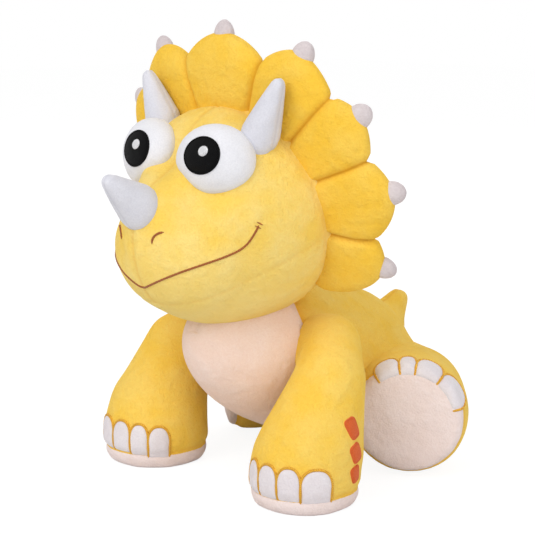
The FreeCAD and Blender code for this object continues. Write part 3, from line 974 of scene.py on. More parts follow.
def round_edge(skin: BVHTree, aim: Aim, shape: Outline) -> list[Vector]:
    """Returns points on a skin just inside a patch's edge, all the way round."""
    turns = [math.radians(angle) for angle in range(0, 360, 6)]
    return [on_skin(skin, aim, *(0.97 * value for value in shape.edge(turn)), 0.0) for turn in turns]


@dataclass(frozen=True)
class Stitch:
    """A line of satin stitch: threads laid close together over a narrow ridge."""

    width: float = 0.0022
    height: float = 0.0007
    pitch: float = 0.0012

    def sew(self, name: str, skin: BVHTree, path: Sequence[Vector], closed: bool = False) -> Form:
        """Sews a line on a skin.

        Args:
            name: The piece's name.
            skin: The search tree of the form that it is sewn on.
            path: Points near the skin, in order.
            closed: Whether the line's end meets its start.

        Returns:
            The line.
        """
        corners = [Vector(point) for point in path] + ([Vector(path[0])] if closed else [])
        spots: list[Vector] = []
        for start, end in zip(corners, corners[1:]):
            steps = max(1, round((end - start).length / (self.pitch / 4)))
            spots += [start.lerp(end, step / steps) for step in range(steps)]
        spots.append(corners[-1])
        sides = 8
        points = []
        for index, spot in enumerate(spots):
            near, normal, _, _ = skin.find_nearest(spot)
            ahead = spots[min(index + 2, len(spots) - 1)] - spots[max(index - 2, 0)]
            across = ahead.cross(normal).normalized()
            end = min(1.0, min(index, len(spots) - 1 - index) / 6 + 0.25) if not closed else 1.0
            for side in range(sides):
                turn = 2 * math.pi * side / sides
                twist = math.sin(math.pi * (index / 4 + 0.5 * math.cos(turn)))
                ridge = end * (0.86 + 0.14 * abs(twist))
                beside = across * (math.cos(turn) * self.width / 2 * ridge)
                points.append(near + beside + normal * (math.sin(turn) * self.height * ridge))
        faces = strips(len(spots) - 1, sides, looped=True)
        faces += [tuple(range(sides)), tuple(range(len(points) - 1, len(points) - 1 - sides, -1))]
        return Form.of(name, points, faces)


def joined(name: str, forms: Sequence[Form]) -> Form:
    """Makes one piece of several forms.

    Args:
        name: The piece's name.
        forms: The forms, which are taken away.

    Returns:
        The piece.
    """
    lumps = bmesh.new()
    for form in forms:
        lumps.from_mesh(form.object.data)
        bpy.data.objects.remove(form.object)
    mesh = bpy.data.meshes.new(name)
    lumps.to_mesh(mesh)
    lumps.free()
    return Form(name, mesh)


def frame_at(x: float, y: float, z: float, tip: float = 0.0) -> Matrix:
    """Returns a place in the row frame, tipped forward about x by an angle in degrees."""
    return Matrix.Translation((x, y, z)) @ Matrix.Rotation(math.radians(tip), 4, "X")


# ----------------------------------------------------------------------
# Body
# ----------------------------------------------------------------------


def splayed_out(angle: float) -> Matrix:
    """Returns the turn of a foot that lies level, with its sole forward and out by an angle in degrees."""
    out = Matrix.Rotation(math.radians(angle), 4, "Z")
    return out @ Matrix.Rotation(math.pi / 2, 4, "X") @ Matrix.Rotation(math.pi, 4, "Y")


@dataclass
class Torso:
    """Egg-shaped trunk: two yellow sides that meet along the back, and a pink belly panel."""

    axis_height: float = 0.060
    tip: float = 71.8
    half_width: float = 0.056
    half_height: float = 0.063
    front: float = 0.146
    rear: float = 0.066
    belly_turn: float = math.radians(77)
    belly_front: float = 0.104
    belly_rear: float = -0.050
    belly_seam_front: float = 0.080
    chest: float = 0.076
    chest_run: float = 0.016
    collar: float = 0.084
    tuck: float = 0.0065
    tuck_place: float = 0.040
    tuck_width: float = 0.050

    def __post_init__(self) -> None:
        """Sets the trunk's frame: z along its axis to the front, y up."""
        self.place = frame_at(0, 0, self.axis_height, self.tip)

    def build(self) -> None:
        """Shapes the trunk's skin, drawn in a little under the belly."""
        sizes = (self.half_width - 0.001, self.half_height - 0.003, self.front - 0.002, self.rear - 0.002)
        self.form = Clay().egg(self.place, *sizes).pressed("torso", rounds=4)
        self.form.stuff(pressure=2.2, cap=0.004)
        turn, _, along = self.around()
        below = np.maximum(np.cos(turn), 0) ** 1.5
        near = np.exp(-(((along - self.tuck_place) / self.tuck_width) ** 2))
        self.form.press(self.tuck * (below * near))
        self.form.refine()
        self.form.rumple(depth=0.0010, size=0.045)

    def around(self) -> tuple[np.ndarray, np.ndarray, np.ndarray]:
        """Returns each point's turn from straight down, and its places out from and along the axis."""
        local = self.form.seen_from(self.place)
        return np.arctan2(local[:, 0], -local[:, 1]), np.hypot(local[:, 0], local[:, 1]), local[:, 2]

    def sew(self) -> None:
        """Sews the belly's seams and the one along the back."""
        turn, reach, along = self.around()
        beside = np.abs(np.abs(turn) - self.belly_turn) * reach
        past = np.maximum(along - self.belly_seam_front, self.belly_rear - along)
        beside = np.hypot(beside, np.maximum(0, past))
        collar = np.where(np.abs(turn) > self.belly_turn, np.abs(along - self.collar), 1.0)
        self.form.crease(np.minimum(beside, collar), depth=0.0026, width=0.0050, tone=0.5)
        turn, reach, along = self.around()
        back = np.where(np.abs(turn) > math.pi / 2, np.abs(np.sin(turn)) * reach, 1.0)
        self.form.crease(back, depth=0.0016, width=0.0038, tone=0.4)

    def belly(self, skin: BVHTree) -> Form:
        """Lays the belly panel on the trunk's skin.

        Args:
            skin: The trunk's search tree.

        Returns:
            The panel.
        """
        rows, columns = 110, 72
        points = []
        turned = self.place.to_3x3()
        for row in range(rows + 1):
            share = row / rows
            along = self.belly_rear + (self.belly_front - self.belly_rear) * min(1.0, share / 0.7)
            polar = math.pi / 2 * (1 - max(0.0, share - 0.7) / 0.3 * 0.9996)
            chest = min(1.0, max(0.0, (along - self.chest) / self.chest_run))
            half = self.belly_turn * max(0.02, 1 - max(0.0, 1 - 3.2 * share) ** 9) ** (1 / 4)
            half += (math.radians(179.6) - half) * chest * chest * (3 - 2 * chest)
            for column in range(columns + 1):
                across = 2 * column / columns - 1
                outward = Vector((math.sin(half * across), -math.cos(half * across), 0)) * math.sin(polar)
                outward += Vector((0, 0, math.cos(polar)))
                start = self.place @ (outward * 0.15 + Vector((0, 0, along)))
                spot, normal, _, _ = skin.ray_cast(start, -(turned @ outward))
                inner = (1 - (1 - chest) * abs(across) ** 24) * (1 - (1 - share) ** 60)
                points.append(spot + normal * (-0.0009 + 0.0020 * inner))
        return Form.of("belly", points, strips(rows, columns))

    def dress(self, finishes: Finishes) -> None:
        """Dresses the trunk, its belly panel, and the neck inside it.

        Args:
            finishes: The finishes.
        """
        belly = self.belly(self.form.tree())
        inside = ("torso_panel_left", "torso_panel_right", "torso_stuffing")
        finishes.dress(self.form, "torso", "yellow_plush", inside, 0.85)
        finishes.dress(belly, "torso", "pink_plush", ("belly_panel",))
        low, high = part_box("neck_stuffing")
        half = (high - low) / 2
        middle = Matrix.Translation((low + high) / 2)
        neck = Clay().egg(middle, half.x, half.y, half.z, half.z).pressed("neck_ball")
        finishes.dress(neck, "neck", "filling", ("neck_stuffing",), 0.9)
        for side in Side:
            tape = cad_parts[f"hip_seam_{side.name.lower()}"]
            tape.data.materials.clear()
            tape.data.materials.append(finishes.by_name["seam_tape"])


@dataclass
class Leg:
    """One kind of leg, with its mirror image: a padded cover, a pink sole, toenails and their outlines.

    Each toe has its turn from straight ahead and half the turn that it spans, in degrees, and its lift.
    """

    stem: str
    foot: Matrix
    sole_radius: float
    sole_band: float
    toes: dict[Side, tuple[tuple[float, float, float], ...]]
    toe_half_height: float
    toe_height: float
    reach: float
    blend_start: Vector
    blend_end: Vector

    def shape(self) -> Clay:
        """Returns the leg's lumps."""
        raise NotImplementedError

    def build(self) -> None:
        """Shapes the left leg's skin."""
        self.form = self.shape().stuffed(f"{self.stem}_left", pressure=2.0, cap=0.003, rounds=8)
        self.form.rumple(depth=0.0007, size=0.035)

    def level(self) -> None:
        """Presses the sole flat, and sews it to the cover."""
        local = self.form.seen_from(self.foot)
        local[:, 2] = np.maximum(local[:, 2], 0.0004)
        turn = np.array(self.foot.to_3x3())
        points = local @ turn.T + np.array(self.foot.translation)
        points[:, 2] = np.maximum(points[:, 2], 0.0003)
        self.form.write(points)
        under = local[:, 2] < 0.002
        away = np.abs(local[:, 2] - self.sole_band) + 10 * under
        self.form.crease(away, depth=0.0012, width=0.0028, tone=0.4)

    def aim_at_sole(self, across: float, up: float) -> tuple[Vector, Vector]:
        """Aims a line at a point of the sole that is laid flat.

        Args:
            across: The point's place across.
            up: The point's place up.

        Returns:
            A start outside the foot, and the direction to its middle.
        """
        out = math.hypot(across, up)
        pivot = 0.014
        rise = max(0.0, out - self.sole_radius)
        flat = min(out, self.sole_radius) + 0.4 * rise
        polar = math.atan2(flat, pivot - 0.9 * rise)
        heading = Vector((across, up, 0)).normalized() if out > 1e-9 else Vector((1, 0, 0))
        outward = heading * math.sin(polar) - Vector((0, 0, 1)) * math.cos(polar)
        start = self.foot @ (Vector((0, 0, pivot)) + outward * CLEAR)
        return start, -(self.foot.to_3x3() @ outward)

    def aim_at_side(self, turn: float, height: float) -> Aim:
        """Aims lines at the foot's side.

        Args:
            turn: The turn from straight ahead of the point that they are about, in degrees.
            height: The height of that point over the sole.

        Returns:
            What gives a line for each point about that one.
        """

        def aim(across: float, up: float) -> tuple[Vector, Vector]:
            """Aims a line from outside the foot.

            Args:
                across: The point's place across.
                up: The point's place up.

            Returns:
                Its start, and the direction to the foot's axis.
            """
            angle = math.radians(turn) + across / self.reach
            outward = Vector((math.sin(angle), -math.cos(angle), 0))
            start = self.foot @ (outward * CLEAR + Vector((0, 0, height + up)))
            return start, -(self.foot.to_3x3() @ outward)

        return aim

    def aim_at_toe(self, turn: float, height: float) -> Aim:
        """Returns lines to a toe, about its middle."""
        return self.aim_at_side(turn, height)

    def toe(self, skin: BVHTree, turn: float, half_turn: float, lift: float) -> tuple[Form, Form]:
        """Makes a toenail and the satin line round it.

        Args:
            skin: The leg's search tree.
            turn: The toe's turn from straight ahead, in degrees.
            half_turn: Half the turn that it spans, in degrees.
            lift: How much higher than the others it is sewn.

        Returns:
            The nail and the line.
        """
        half, tall = math.radians(half_turn) * self.reach, self.toe_half_height
        aim = self.aim_at_toe(turn, self.toe_height + lift)
        patch = Patch(Outline(half, tall, top=2.4, bottom=12.0), lift=0.0014, rim=-0.0006, rings=9, spokes=64)
        nail = patch.lay("nail", skin, aim)
        arch = Outline(half, tall, top=2.4, bottom=40.0)
        edge = [arch.edge(math.radians(angle)) for angle in range(0, 181, 6)]
        sides = [(half, -tall * share) for share in (0.97, 0.75, 0.5, 0.25)]
        path = sides + edge + [(-across, up) for across, up in reversed(sides)]
        spots = [on_skin(skin, aim, across, up, 0.0) for across, up in path]
        return nail, Stitch(width=0.0021, height=0.0012, pitch=0.0011).sew("line", skin, spots)

    def trims(self, side: Side) -> dict[str, tuple[Form, str, str]]:
        """Makes what is sewn on a foot, as it lies on the left leg.

        Args:
            side: The side whose toes are made.

        Returns:
            For each kind of trim, its form, its record slot and its finish.
        """
        skin = self.form.tree()
        wrap = self.sole_radius + self.sole_band + 0.001
        panel = Patch(Outline(wrap, wrap), lift=0.0008, rim=-0.0006, rings=40, spokes=96)
        sole = panel.lay(f"{self.stem}_sole_panel_left", skin, self.aim_at_sole)
        nails, lines = zip(*(self.toe(skin, *toe) for toe in self.toes[side]))
        return {
            "sole": (sole, "pink_plush", "sole_plush"),
            "toenails": (joined(f"{self.stem}_nails_left", nails), "white_plush", "nail_plush"),
            "": (joined(f"{self.stem}_toe_stitch_left", lines), "yellow_plush", "gold_thread"),
        }

    def dress(self, finishes: Finishes) -> None:
        """Dresses the left leg and its mirror image.

        Args:
            finishes: The finishes.
        """
        skins = {Side.LEFT: self.form, Side.RIGHT: self.form.mirrored(f"{self.stem}_right")}
        trims = {side: self.trims(side) for side in Side}
        for side, cover in skins.items():
            word = side.name.lower()
            body = f"{self.stem}_{word}"
            nodes = (f"{self.stem}_cover_{word}", f"{self.stem}_stuffing_{word}")
            finishes.dress(cover, "", "yellow_plush", nodes, 0.9)
            flip = Vector((side.value, 1, 1))
            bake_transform(cover.object, "torso", body, self.blend_start * flip, self.blend_end * flip)
            for part, (made, slot, look) in trims[side].items():
                if side is Side.RIGHT:
                    made = made.turned_over(made.name.split(".")[0].replace("left", "right"))
                finishes.dress(made, body, slot, (f"{self.stem}_{part}_{word}",) if part else (), look=look)


@dataclass
class Foreleg(Leg):
    """Front leg: a round paw under a leg that leans back and inward to the shoulder.

    Each scale has its turn from straight ahead, its height, its tilt and half its width.
    """

    stem: str = "foreleg"
    foot: Matrix = frame_at(0.0735, -0.1060, 0.0)
    sole_radius: float = 0.0328
    sole_band: float = 0.0112
    toes: dict[Side, tuple[tuple[float, float, float], ...]] = field(
        default_factory=lambda: {
            Side.LEFT: ((-23.0, 11.6, 0.0), (1.3, 12.6, 0.0), (26.4, 12.5, 0.0), (55.5, 16.6, -0.001)),
            Side.RIGHT: (
                (22.5, 16.5, 0.001),
                (-6.5, 12.5, 0.001),
                (-29.5, 10.5, 0.0),
                (-52.0, 12.0, -0.0015),
            ),
        }
    )
    toe_half_height: float = 0.0112
    toe_height: float = 0.0208
    reach: float = 0.0368
    blend_start: Vector = Vector((0.045, -0.082, 0.112))
    blend_end: Vector = Vector((0.066, -0.094, 0.055))
    shoulder: Vector = Vector((0.0735, -0.0830, 0.0775))
    shoulder_radius: float = 0.0243
    foot_radius: float = 0.0368
    collar: Vector = Vector((0.052, -0.0600, 0.094))
    collar_radius: float = 0.0215
    ankle: Vector = Vector((0.0015, 0.0035, 0.034))
    ankle_radius: float = 0.0352
    scales: tuple[tuple[float, float, float, float], ...] = (
        (109.0, 0.0528, -14.0, 0.0054),
        (107.0, 0.0372, -20.0, 0.0050),
        (106.0, 0.0234, -16.0, 0.0044),
    )
    tape_radius: float = 0.0185
    tape_half_wall: float = 0.0016
    tape_half_depth: float = 0.0030

    def shape(self) -> Clay:
        """Makes the paw, the leg and the shoulder's upper part.

        Returns:
            The lumps.
        """
        radius = self.foot_radius
        paw = [(0, 0), (radius * 0.9, 0), (radius * 0.97, 0.006), (radius, 0.016), (radius * 0.98, 0.028)]
        paw += [(radius * 0.9, 0.040), (radius * 0.71, 0.050), (radius * 0.4, 0.058), (0, 0.061)]
        clay = Clay().turned(self.foot, paw)
        clay.limb(self.foot @ self.ankle, self.shoulder, self.ankle_radius, self.shoulder_radius)
        return clay.limb(self.shoulder, self.collar, self.shoulder_radius - 0.001, self.collar_radius)

    def trims(self, side: Side) -> dict[str, tuple[Form, str, str]]:
        """Adds the three scales on the outer side.

        Args:
            side: The side whose toes are made.

        Returns:
            For each kind of trim, its form, its record slot and its finish.
        """
        made = super().trims(side)
        skin = self.form.tree()
        patches, edges = [], []
        for turn, height, tilt, half in self.scales:
            straight = self.aim_at_side(turn, height)
            lean = math.radians(tilt)

            def aim(across: float, up: float) -> tuple[Vector, Vector]:
                """Aims a line at a scale that is narrower at its foot and turned on its corner.

                Args:
                    across: The point's place across.
                    up: The point's place up.

                Returns:
                    Its start, and the direction to the foot's axis.
                """
                across *= 1 + 14 * up
                level = across * math.cos(lean) + up * math.sin(lean)
                return straight(level, up * math.cos(lean) - across * math.sin(lean))

            shape = Outline(half, half * 1.2, top=4.5, bottom=4.5)
            patches.append(Patch(shape, lift=0.0010, rim=-0.0003, rings=6, spokes=56).lay("scale", skin, aim))
            stitch = Stitch(width=0.0012, height=0.0009, pitch=0.0009)
            edges.append(stitch.sew("edge", skin, round_edge(skin, aim, shape), closed=True))
        scales = joined(f"{self.stem}_scale_patches_left", patches + edges)
        made["scales"] = (scales, "orange_plush", "orange_felt")
        return made

    def dress(self, finishes: Finishes) -> None:
        """Adds the ring of seam tape inside each shoulder.

        Args:
            finishes: The finishes.
        """
        super().dress(finishes)
        middle = (self.shoulder + self.collar) / 2
        turned = (self.collar - self.shoulder).to_track_quat("Z", "Y").to_matrix().to_4x4()
        points = []
        around, section = 72, 8
        for step in range(around):
            turn = 2 * math.pi * step / around
            for part in range(section):
                bend = 2 * math.pi * part / section
                out = self.tape_radius + self.tape_half_wall * math.cos(bend)
                rise = self.tape_half_depth * math.sin(bend)
                points.append(middle + turned @ Vector((out * math.cos(turn), out * math.sin(turn), rise)))
        faces = [[corner % len(points) for corner in face] for face in strips(around, section, looped=True)]
        ring = Form.of("shoulder_tape_left", points, faces)
        finishes.dress_pair(ring, "torso", "seam_tape", "shoulder_seam")


@dataclass
class Hindleg(Leg):
    """Back leg: it lies level, with its sole forward and outward."""

    stem: str = "hindleg"
    foot: Matrix = Matrix.Translation((0.089, -0.022, 0.0418)) @ splayed_out(38)
    sole_radius: float = 0.0362
    sole_band: float = 0.006
    toes: dict[Side, tuple[tuple[float, float, float], ...]] = field(
        default_factory=lambda: dict.fromkeys(
            Side, ((156.0, 14.0, 0.0), (179.0, 9.0, 0.0), (203.0, 15.0, 0.0), (238.0, 20.0, 0.0))
        )
    )
    toe_half_height: float = 0.0078
    toe_height: float = 0.0065
    reach: float = 0.0408
    blend_start: Vector = Vector((0.045, 0.030, 0.045))
    blend_end: Vector = Vector((0.070, 0.002, 0.045))
    length: float = 0.100
    foot_radius: float = 0.0414
    hip_radius: float = 0.038

    def aim_at_toe(self, turn: float, height: float) -> Aim:
        """Aims lines at a toe, which is sewn over the rounded edge of the sole.

        Args:
            turn: The toe's turn from straight ahead, in degrees.
            height: The height of the toe's middle over the sole.

        Returns:
            What gives a line for each point about that middle.
        """

        def aim(across: float, up: float) -> tuple[Vector, Vector]:
            """Aims a line from outside the edge.

            Args:
                across: The point's place across.
                up: The point's place up.

            Returns:
                Its start, and a direction that slants to the foot's axis.
            """
            angle = math.radians(turn) + across / self.reach
            out, down = Vector((math.sin(angle), -math.cos(angle), 0)), Vector((0, 0, -1))
            slant = (out + down).normalized()
            edge = out * (self.foot_radius - height) - down * height + (out - down).normalized() * up
            return self.foot @ (edge + slant * CLEAR), -(self.foot.to_3x3() @ slant)

        return aim

    def shape(self) -> Clay:
        """Makes the one turned lump.

        Returns:
            The lump.
        """
        foot, hip, length = self.foot_radius, self.hip_radius, self.length
        side = [(0, 0), (foot * 0.9, 0), (foot * 0.97, 0.006), (foot, 0.016), (foot * 0.98, 0.032)]
        side.append((hip, length - hip))
        crown = [(hip * math.cos(turn), length - hip + hip * math.sin(turn)) for turn in (0.4, 0.8, 1.2)]
        return Clay().turned(self.foot, side + crown + [(0, length)])


@dataclass
class Tail:
    """A short blunt tail, sewn into the rump."""

    place: Matrix = frame_at(0, 0.054, 0.084, -46)
    root_radius: float = 0.0160
    tip_radius: float = 0.0084
    length: float = 0.031

    def build(self) -> None:
        """Shapes the tail's skin."""
        run = self.length - self.tip_radius
        start, end = self.place @ Vector((0, 0, 0)), self.place @ Vector((0, 0, run))
        limb = Clay().limb(start, end, self.root_radius, self.tip_radius)
        self.form = limb.stuffed("tail", pressure=1.5, cap=0.001, voxel=0.0025, rounds=10)

    def dress(self, finishes: Finishes) -> None:
        """Sews its seam and dresses it.

        Args:
            finishes: The finishes.
        """
        points = self.form.read()
        self.form.crease(np.abs(points[:, 0]), depth=0.0009, width=0.0025, tone=0.4)
        finishes.dress(self.form, "tail", "yellow_plush", ("tail_cover", "tail_stuffing"), 0.9)


# ----------------------------------------------------------------------
# Head
# ----------------------------------------------------------------------


@dataclass
class Head:
    """Egg-shaped head with a rounder jaw in it: cheeks that meet along the snout, and a chin panel."""

    place: Matrix = frame_at(0, -0.0903, 0.186, 108.4)
    half_width: float = 0.0763
    half_height: float = 0.0736
    face: float = 0.1010
    nape: float = 0.036
    point: float = 1.60
    jaw: Vector = Vector((0, -0.005, 0.043))
    jaw_half_width: float = 0.0575
    jaw_half_height: float = 0.050
    jaw_front: float = 0.0575
    jaw_back: float = 0.05
    jaw_point: float = 1.95
    chin_drop: float = 0.012
    chin_slope: float = 10.0
    bridge: Vector = Vector((0, -0.160, 0.226))
    bridge_spread: tuple[float, float, float] = (0.017, 0.026, 0.024)
    bridge_depth: float = 0.012
    socket: Vector = Vector((0.031, -0.159, 0.203))
    socket_depth: float = 0.0095
    socket_radius: float = 0.019
    muzzle_top: float = 0.012
    muzzle_rear: float = 0.01
    muzzle_fade: float = 0.05
    muzzle_tone: float = 0.55

    def build(self) -> None:
        """Shapes the head's skin."""
        clay = Clay().egg(self.place, self.half_width, self.half_height, self.face, self.nape, self.point)
        jaw = self.place @ Matrix.Translation(self.jaw)
        sizes = (self.jaw_half_width, self.jaw_half_height, self.jaw_front, self.jaw_back, self.jaw_point)
        self.form = clay.egg(jaw, *sizes).stuffed("head", pressure=2.0, cap=0.003, rounds=5)
        self.form.rumple(depth=0.0008, size=0.05)
        points = self.form.read()
        away = np.linalg.norm((points - np.array(self.bridge)) / np.array(self.bridge_spread), axis=1)
        points[:, 0] = np.abs(points[:, 0])
        below = np.linalg.norm((points - np.array(self.socket)) / self.socket_radius, axis=1)
        self.form.press(self.bridge_depth * np.exp(-(away**2)) + self.socket_depth * np.exp(-(below**2)))

    def sew(self) -> None:
        """Sews the snout's seam and the chin's, and marks the paler muzzle."""
        slope = math.radians(self.chin_slope)
        local = self.form.seen_from(self.place)
        over_chin = (local[:, 1] + self.chin_drop) * math.cos(slope) + local[:, 2] * math.sin(slope)
        snout = np.where((local[:, 2] > 0) & (over_chin > 0), np.abs(local[:, 0]), 1.0)
        self.form.crease(snout, depth=0.0008, width=0.0018, tone=0.30)
        chin = np.where(local[:, 2] > 0, np.abs(over_chin), 1.0)
        self.form.crease(chin, depth=0.0006, width=0.0017, tone=0.16)
        local = self.form.seen_from(self.place)
        self.form.crease(np.abs(local[:, 2]) + 0.004, depth=0.0030, width=0.0070, tone=0.3)
        low = np.clip((self.muzzle_top - local[:, 1]) / self.muzzle_fade, 0, 1)
        ahead = np.clip((local[:, 2] - self.muzzle_rear) / self.muzzle_fade, 0, 1)
        self.form.paint("muzzle", self.muzzle_tone * (low * ahead))

    def aim_from_front(self, middle: Vector, direction: Vector = Vector((0, 1, 0))) -> Aim:
        """Aims level lines at the face.

        Args:
            middle: The point that they are about.
            direction: Where they go.

        Returns:
            What gives a line for each point about the middle.
        """

        def aim(across: float, up: float) -> tuple[Vector, Vector]:
            """From before the face, straight back."""
            spot = middle + direction.cross(Vector((0, 0, 1))) * across + Vector((0, 0, up))
            return spot - direction * 0.2, direction

        return aim

    def dress(self, finishes: Finishes) -> None:
        """Dresses the skin."""
        panels = ("head_panel_left", "head_panel_right", "head_back_panel", "chin_panel", "head_stuffing")
        finishes.dress(self.form, "head", "yellow_plush", panels, 0.9, look="face_plush")


@dataclass
class Face:
    """Eyes, pupils, glints, mouth and nostrils."""

    head: Head
    eye_half: Vector = Vector((0.0274, 0.0195, 0.0246))
    eye_side: float = 0.0300
    eye_forward: float = 0.1428
    eye_drop: float = 0.0040
    pupil_shift: Vector = Vector((0.0004, -0.0165, 0.0058))
    eye_turn: float = math.radians(20)
    pupil: Outline = Outline(half_width=0.0125, half_height=0.0116)
    gaze: Vector = Vector((-0.10, 0.995, 0.0))
    glance: float = 0.0036
    glint_shift: Vector = Vector((0.0022, 0.0, 0.0028))
    glint: Outline = Outline(half_width=0.0033, half_height=0.0033)
    mouth_height: float = 0.1405
    mouth_half: float = 0.0615
    mouth_slope: float = 0.46
    mouth_curl: float = 0.0150
    nostril: Vector = Vector((0.0218, 0.0, 0.1728))
    nostril_radius: float = 0.0070

    def __post_init__(self) -> None:
        """Sets the left eye a little under the place of its solid, and the pupil on it."""
        low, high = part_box("eye_left")
        self.eye_middle = Vector((self.eye_side, -self.eye_forward, (low.z + high.z) / 2 - self.eye_drop))
        self.pupil_middle = self.eye_middle + self.pupil_shift

    def build(self, finishes: Finishes) -> None:
        """Makes and dresses it all.

        Args:
            finishes: The finishes.
        """
        self.eyes(finishes)
        self.mouth(finishes)
        self.nostrils(finishes)

    def eyes(self, finishes: Finishes) -> None:
        """Stuffed white domes, each with an embroidered pupil and a glint.

        Args:
            finishes: The finishes.
        """
        half = self.eye_half
        place = Matrix.Translation(self.eye_middle) @ Matrix.Rotation(self.eye_turn, 4, "Z")
        egg = Clay().egg(place, half.x, half.y, half.z, half.z)
        dome = egg.stuffed("eye_dome_left", pressure=1.5, cap=0.0008, voxel=0.0022, rounds=3)
        # The dome dips where it meets the head, and painted shade darkens it there.
        seam = outside(self.head.form.tree(), dome.read())
        dome.crease(np.abs(seam), depth=0.0008, width=0.0022, tone=0.35)
        skin = dome.tree()
        other = dome.mirrored("eye_dome_right")
        for made, side in ((dome, Side.LEFT), (other, Side.RIGHT)):
            finishes.dress(made, "head", "white_plush", (f"eye_{side.name.lower()}",), 0.95)
            self.pupils(finishes, skin, side)

    def pupils(self, finishes: Finishes, skin: BVHTree, side: Side) -> None:
        """Embroiders a pupil and its glint. Both eyes look a little to the animal's left.

        Args:
            finishes: The finishes.
            skin: The left eye's search tree.
            side: The side that the eye is on; the right one is made on the left eye and mirrored.
        """
        word = side.name.lower()
        middle = self.pupil_middle + Vector((self.glance * side.value, 0, 0))
        aim = self.head.aim_from_front(middle, self.gaze)
        pupil = Patch(self.pupil, lift=0.0009, rim=-0.0003, rings=10).lay("pupil_middle", skin, aim)
        path = round_edge(skin, aim, self.pupil)
        rim = Stitch(width=0.0013, height=0.0009, pitch=0.0010).sew("rim", skin, path, closed=True)
        pupil = joined(f"pupil_satin_{word}", [pupil, rim])
        shift = Vector((self.glint_shift.x * side.value, 0, self.glint_shift.z))
        shine_aim = self.head.aim_from_front(middle + shift, self.gaze)
        patch = Patch(self.glint, lift=0.0017, rim=0.0006, rings=5, spokes=28)
        shine = patch.lay(f"glint_satin_{word}", skin, shine_aim)
        for made, node, slot in ((pupil, "pupil", "black_thread"), (shine, "glint", "white_thread")):
            if side is Side.RIGHT:
                made = made.turned_over(f"{node}_stitched_right")
            finishes.dress(made, "head", slot, (f"{node}_{word}",))

    def mouth(self, finishes: Finishes) -> None:
        """A long thin smile, with two short ticks across each end.

        Args:
            finishes: The finishes.
        """
        skin = self.head.form.tree()

        def spot(turn: float) -> Vector:
            """Finds a point of the smile on the face.

            Args:
                turn: 0 in the middle, and a right angle at each corner, in radians.

            Returns:
                The point.
            """
            side = math.sin(turn) * self.mouth_half
            rise = self.mouth_slope * math.hypot(side, 0.0025) + self.mouth_curl * abs(math.sin(turn)) ** 14
            here = Vector((side, 0, self.mouth_height + rise))
            return on_skin(skin, self.head.aim_from_front(here), 0, 0, 0)

        steps = 90
        path = [spot(math.pi / 2 * (2 * step / steps - 1)) for step in range(steps + 1)]
        lines = [Stitch(width=0.0015, height=0.0008, pitch=0.0022).sew("smile", skin, path)]
        for end, before in ((path[0], path[3]), (path[-1], path[-4])):
            heading = (end - before).normalized()
            _, normal, _, _ = skin.find_nearest(end)
            across = heading.cross(normal).normalized()
            for back in (-0.0012, 0.0014):
                middle = end - heading * back
                tick = [skin.find_nearest(middle + across * out)[0] for out in (-0.0024, 0.0, 0.0024)]
                lines.append(Stitch(width=0.0011, height=0.0007, pitch=0.0018).sew("tick", skin, tick))
        finishes.dress(joined("smile", lines), "head", "brown_thread", ("mouth_stitch",))

    def nostrils(self, finishes: Finishes) -> None:
        """A short curved stitch each side of the snout's seam.

        Args:
            finishes: The finishes.
        """
        skin = self.head.form.tree()
        aim = self.head.aim_from_front(self.nostril)
        turns = [math.radians(angle) for angle in range(92, 190, 8)]
        radius = self.nostril_radius
        path = [on_skin(skin, aim, math.cos(turn) * radius, math.sin(turn) * radius, 0) for turn in turns]
        made = Stitch(width=0.0016, height=0.0007, pitch=0.0018).sew("nostril_left", skin, path)
        finishes.dress_pair(made, "head", "brown_thread", "nostril_stitch")


@dataclass
class Horn:
    """A stuffed white horn: a round-ended cone that bends a little, with a seam along it."""

    name: str
    node: str
    base: Vector
    lean: Vector
    length: float
    base_radius: float
    tip_radius: float
    bend: Vector
    sunk: float = 0.010

    def build(self) -> None:
        """Shapes the horn's skin."""
        clay = Clay()
        steps = 7
        spots = []
        for step in range(steps + 1):
            share = step / steps
            along = -self.sunk + share * (self.length - self.tip_radius + self.sunk)
            left = (1 - max(0.0, along) / self.length) ** 0.9
            radius = self.tip_radius + (self.base_radius - self.tip_radius) * left
            spots.append((self.base + self.lean * along + self.bend * share * share, radius))
        for (start, wide), (end, narrow) in zip(spots, spots[1:]):
            clay.limb(start, end, wide, narrow)
        self.form = clay.stuffed(self.name, pressure=1.5, cap=0.0008, voxel=0.0022)

    def sew(self, across: Vector, head: BVHTree) -> None:
        """Sews the seam along the horn, and the one round its base.

        Args:
            across: The direction that the seam's plane faces.
            head: The head's search tree.
        """
        points = self.form.read()
        beside = np.abs((points - np.array(self.base)) @ np.array(across.normalized()))
        self.form.crease(beside, depth=0.0004, width=0.0013, tone=0.3)
        # The base dips where it meets the head, with painted shade there.
        self.form.crease(np.abs(outside(head, self.form.read())), depth=0.0012, width=0.0030, tone=0.4)

    def dress(self, finishes: Finishes, mirror: bool) -> None:
        """Dresses the horn, and its mirror image where it has one.

        Args:
            finishes: The finishes.
            mirror: Whether it has a mirror image.
        """
        if mirror:
            finishes.dress_pair(self.form, "head", "white_plush", self.node, 0.95, look="horn_plush")
        else:
            finishes.dress(self.form, "head", "white_plush", (self.node,), 0.95, look="horn_plush")


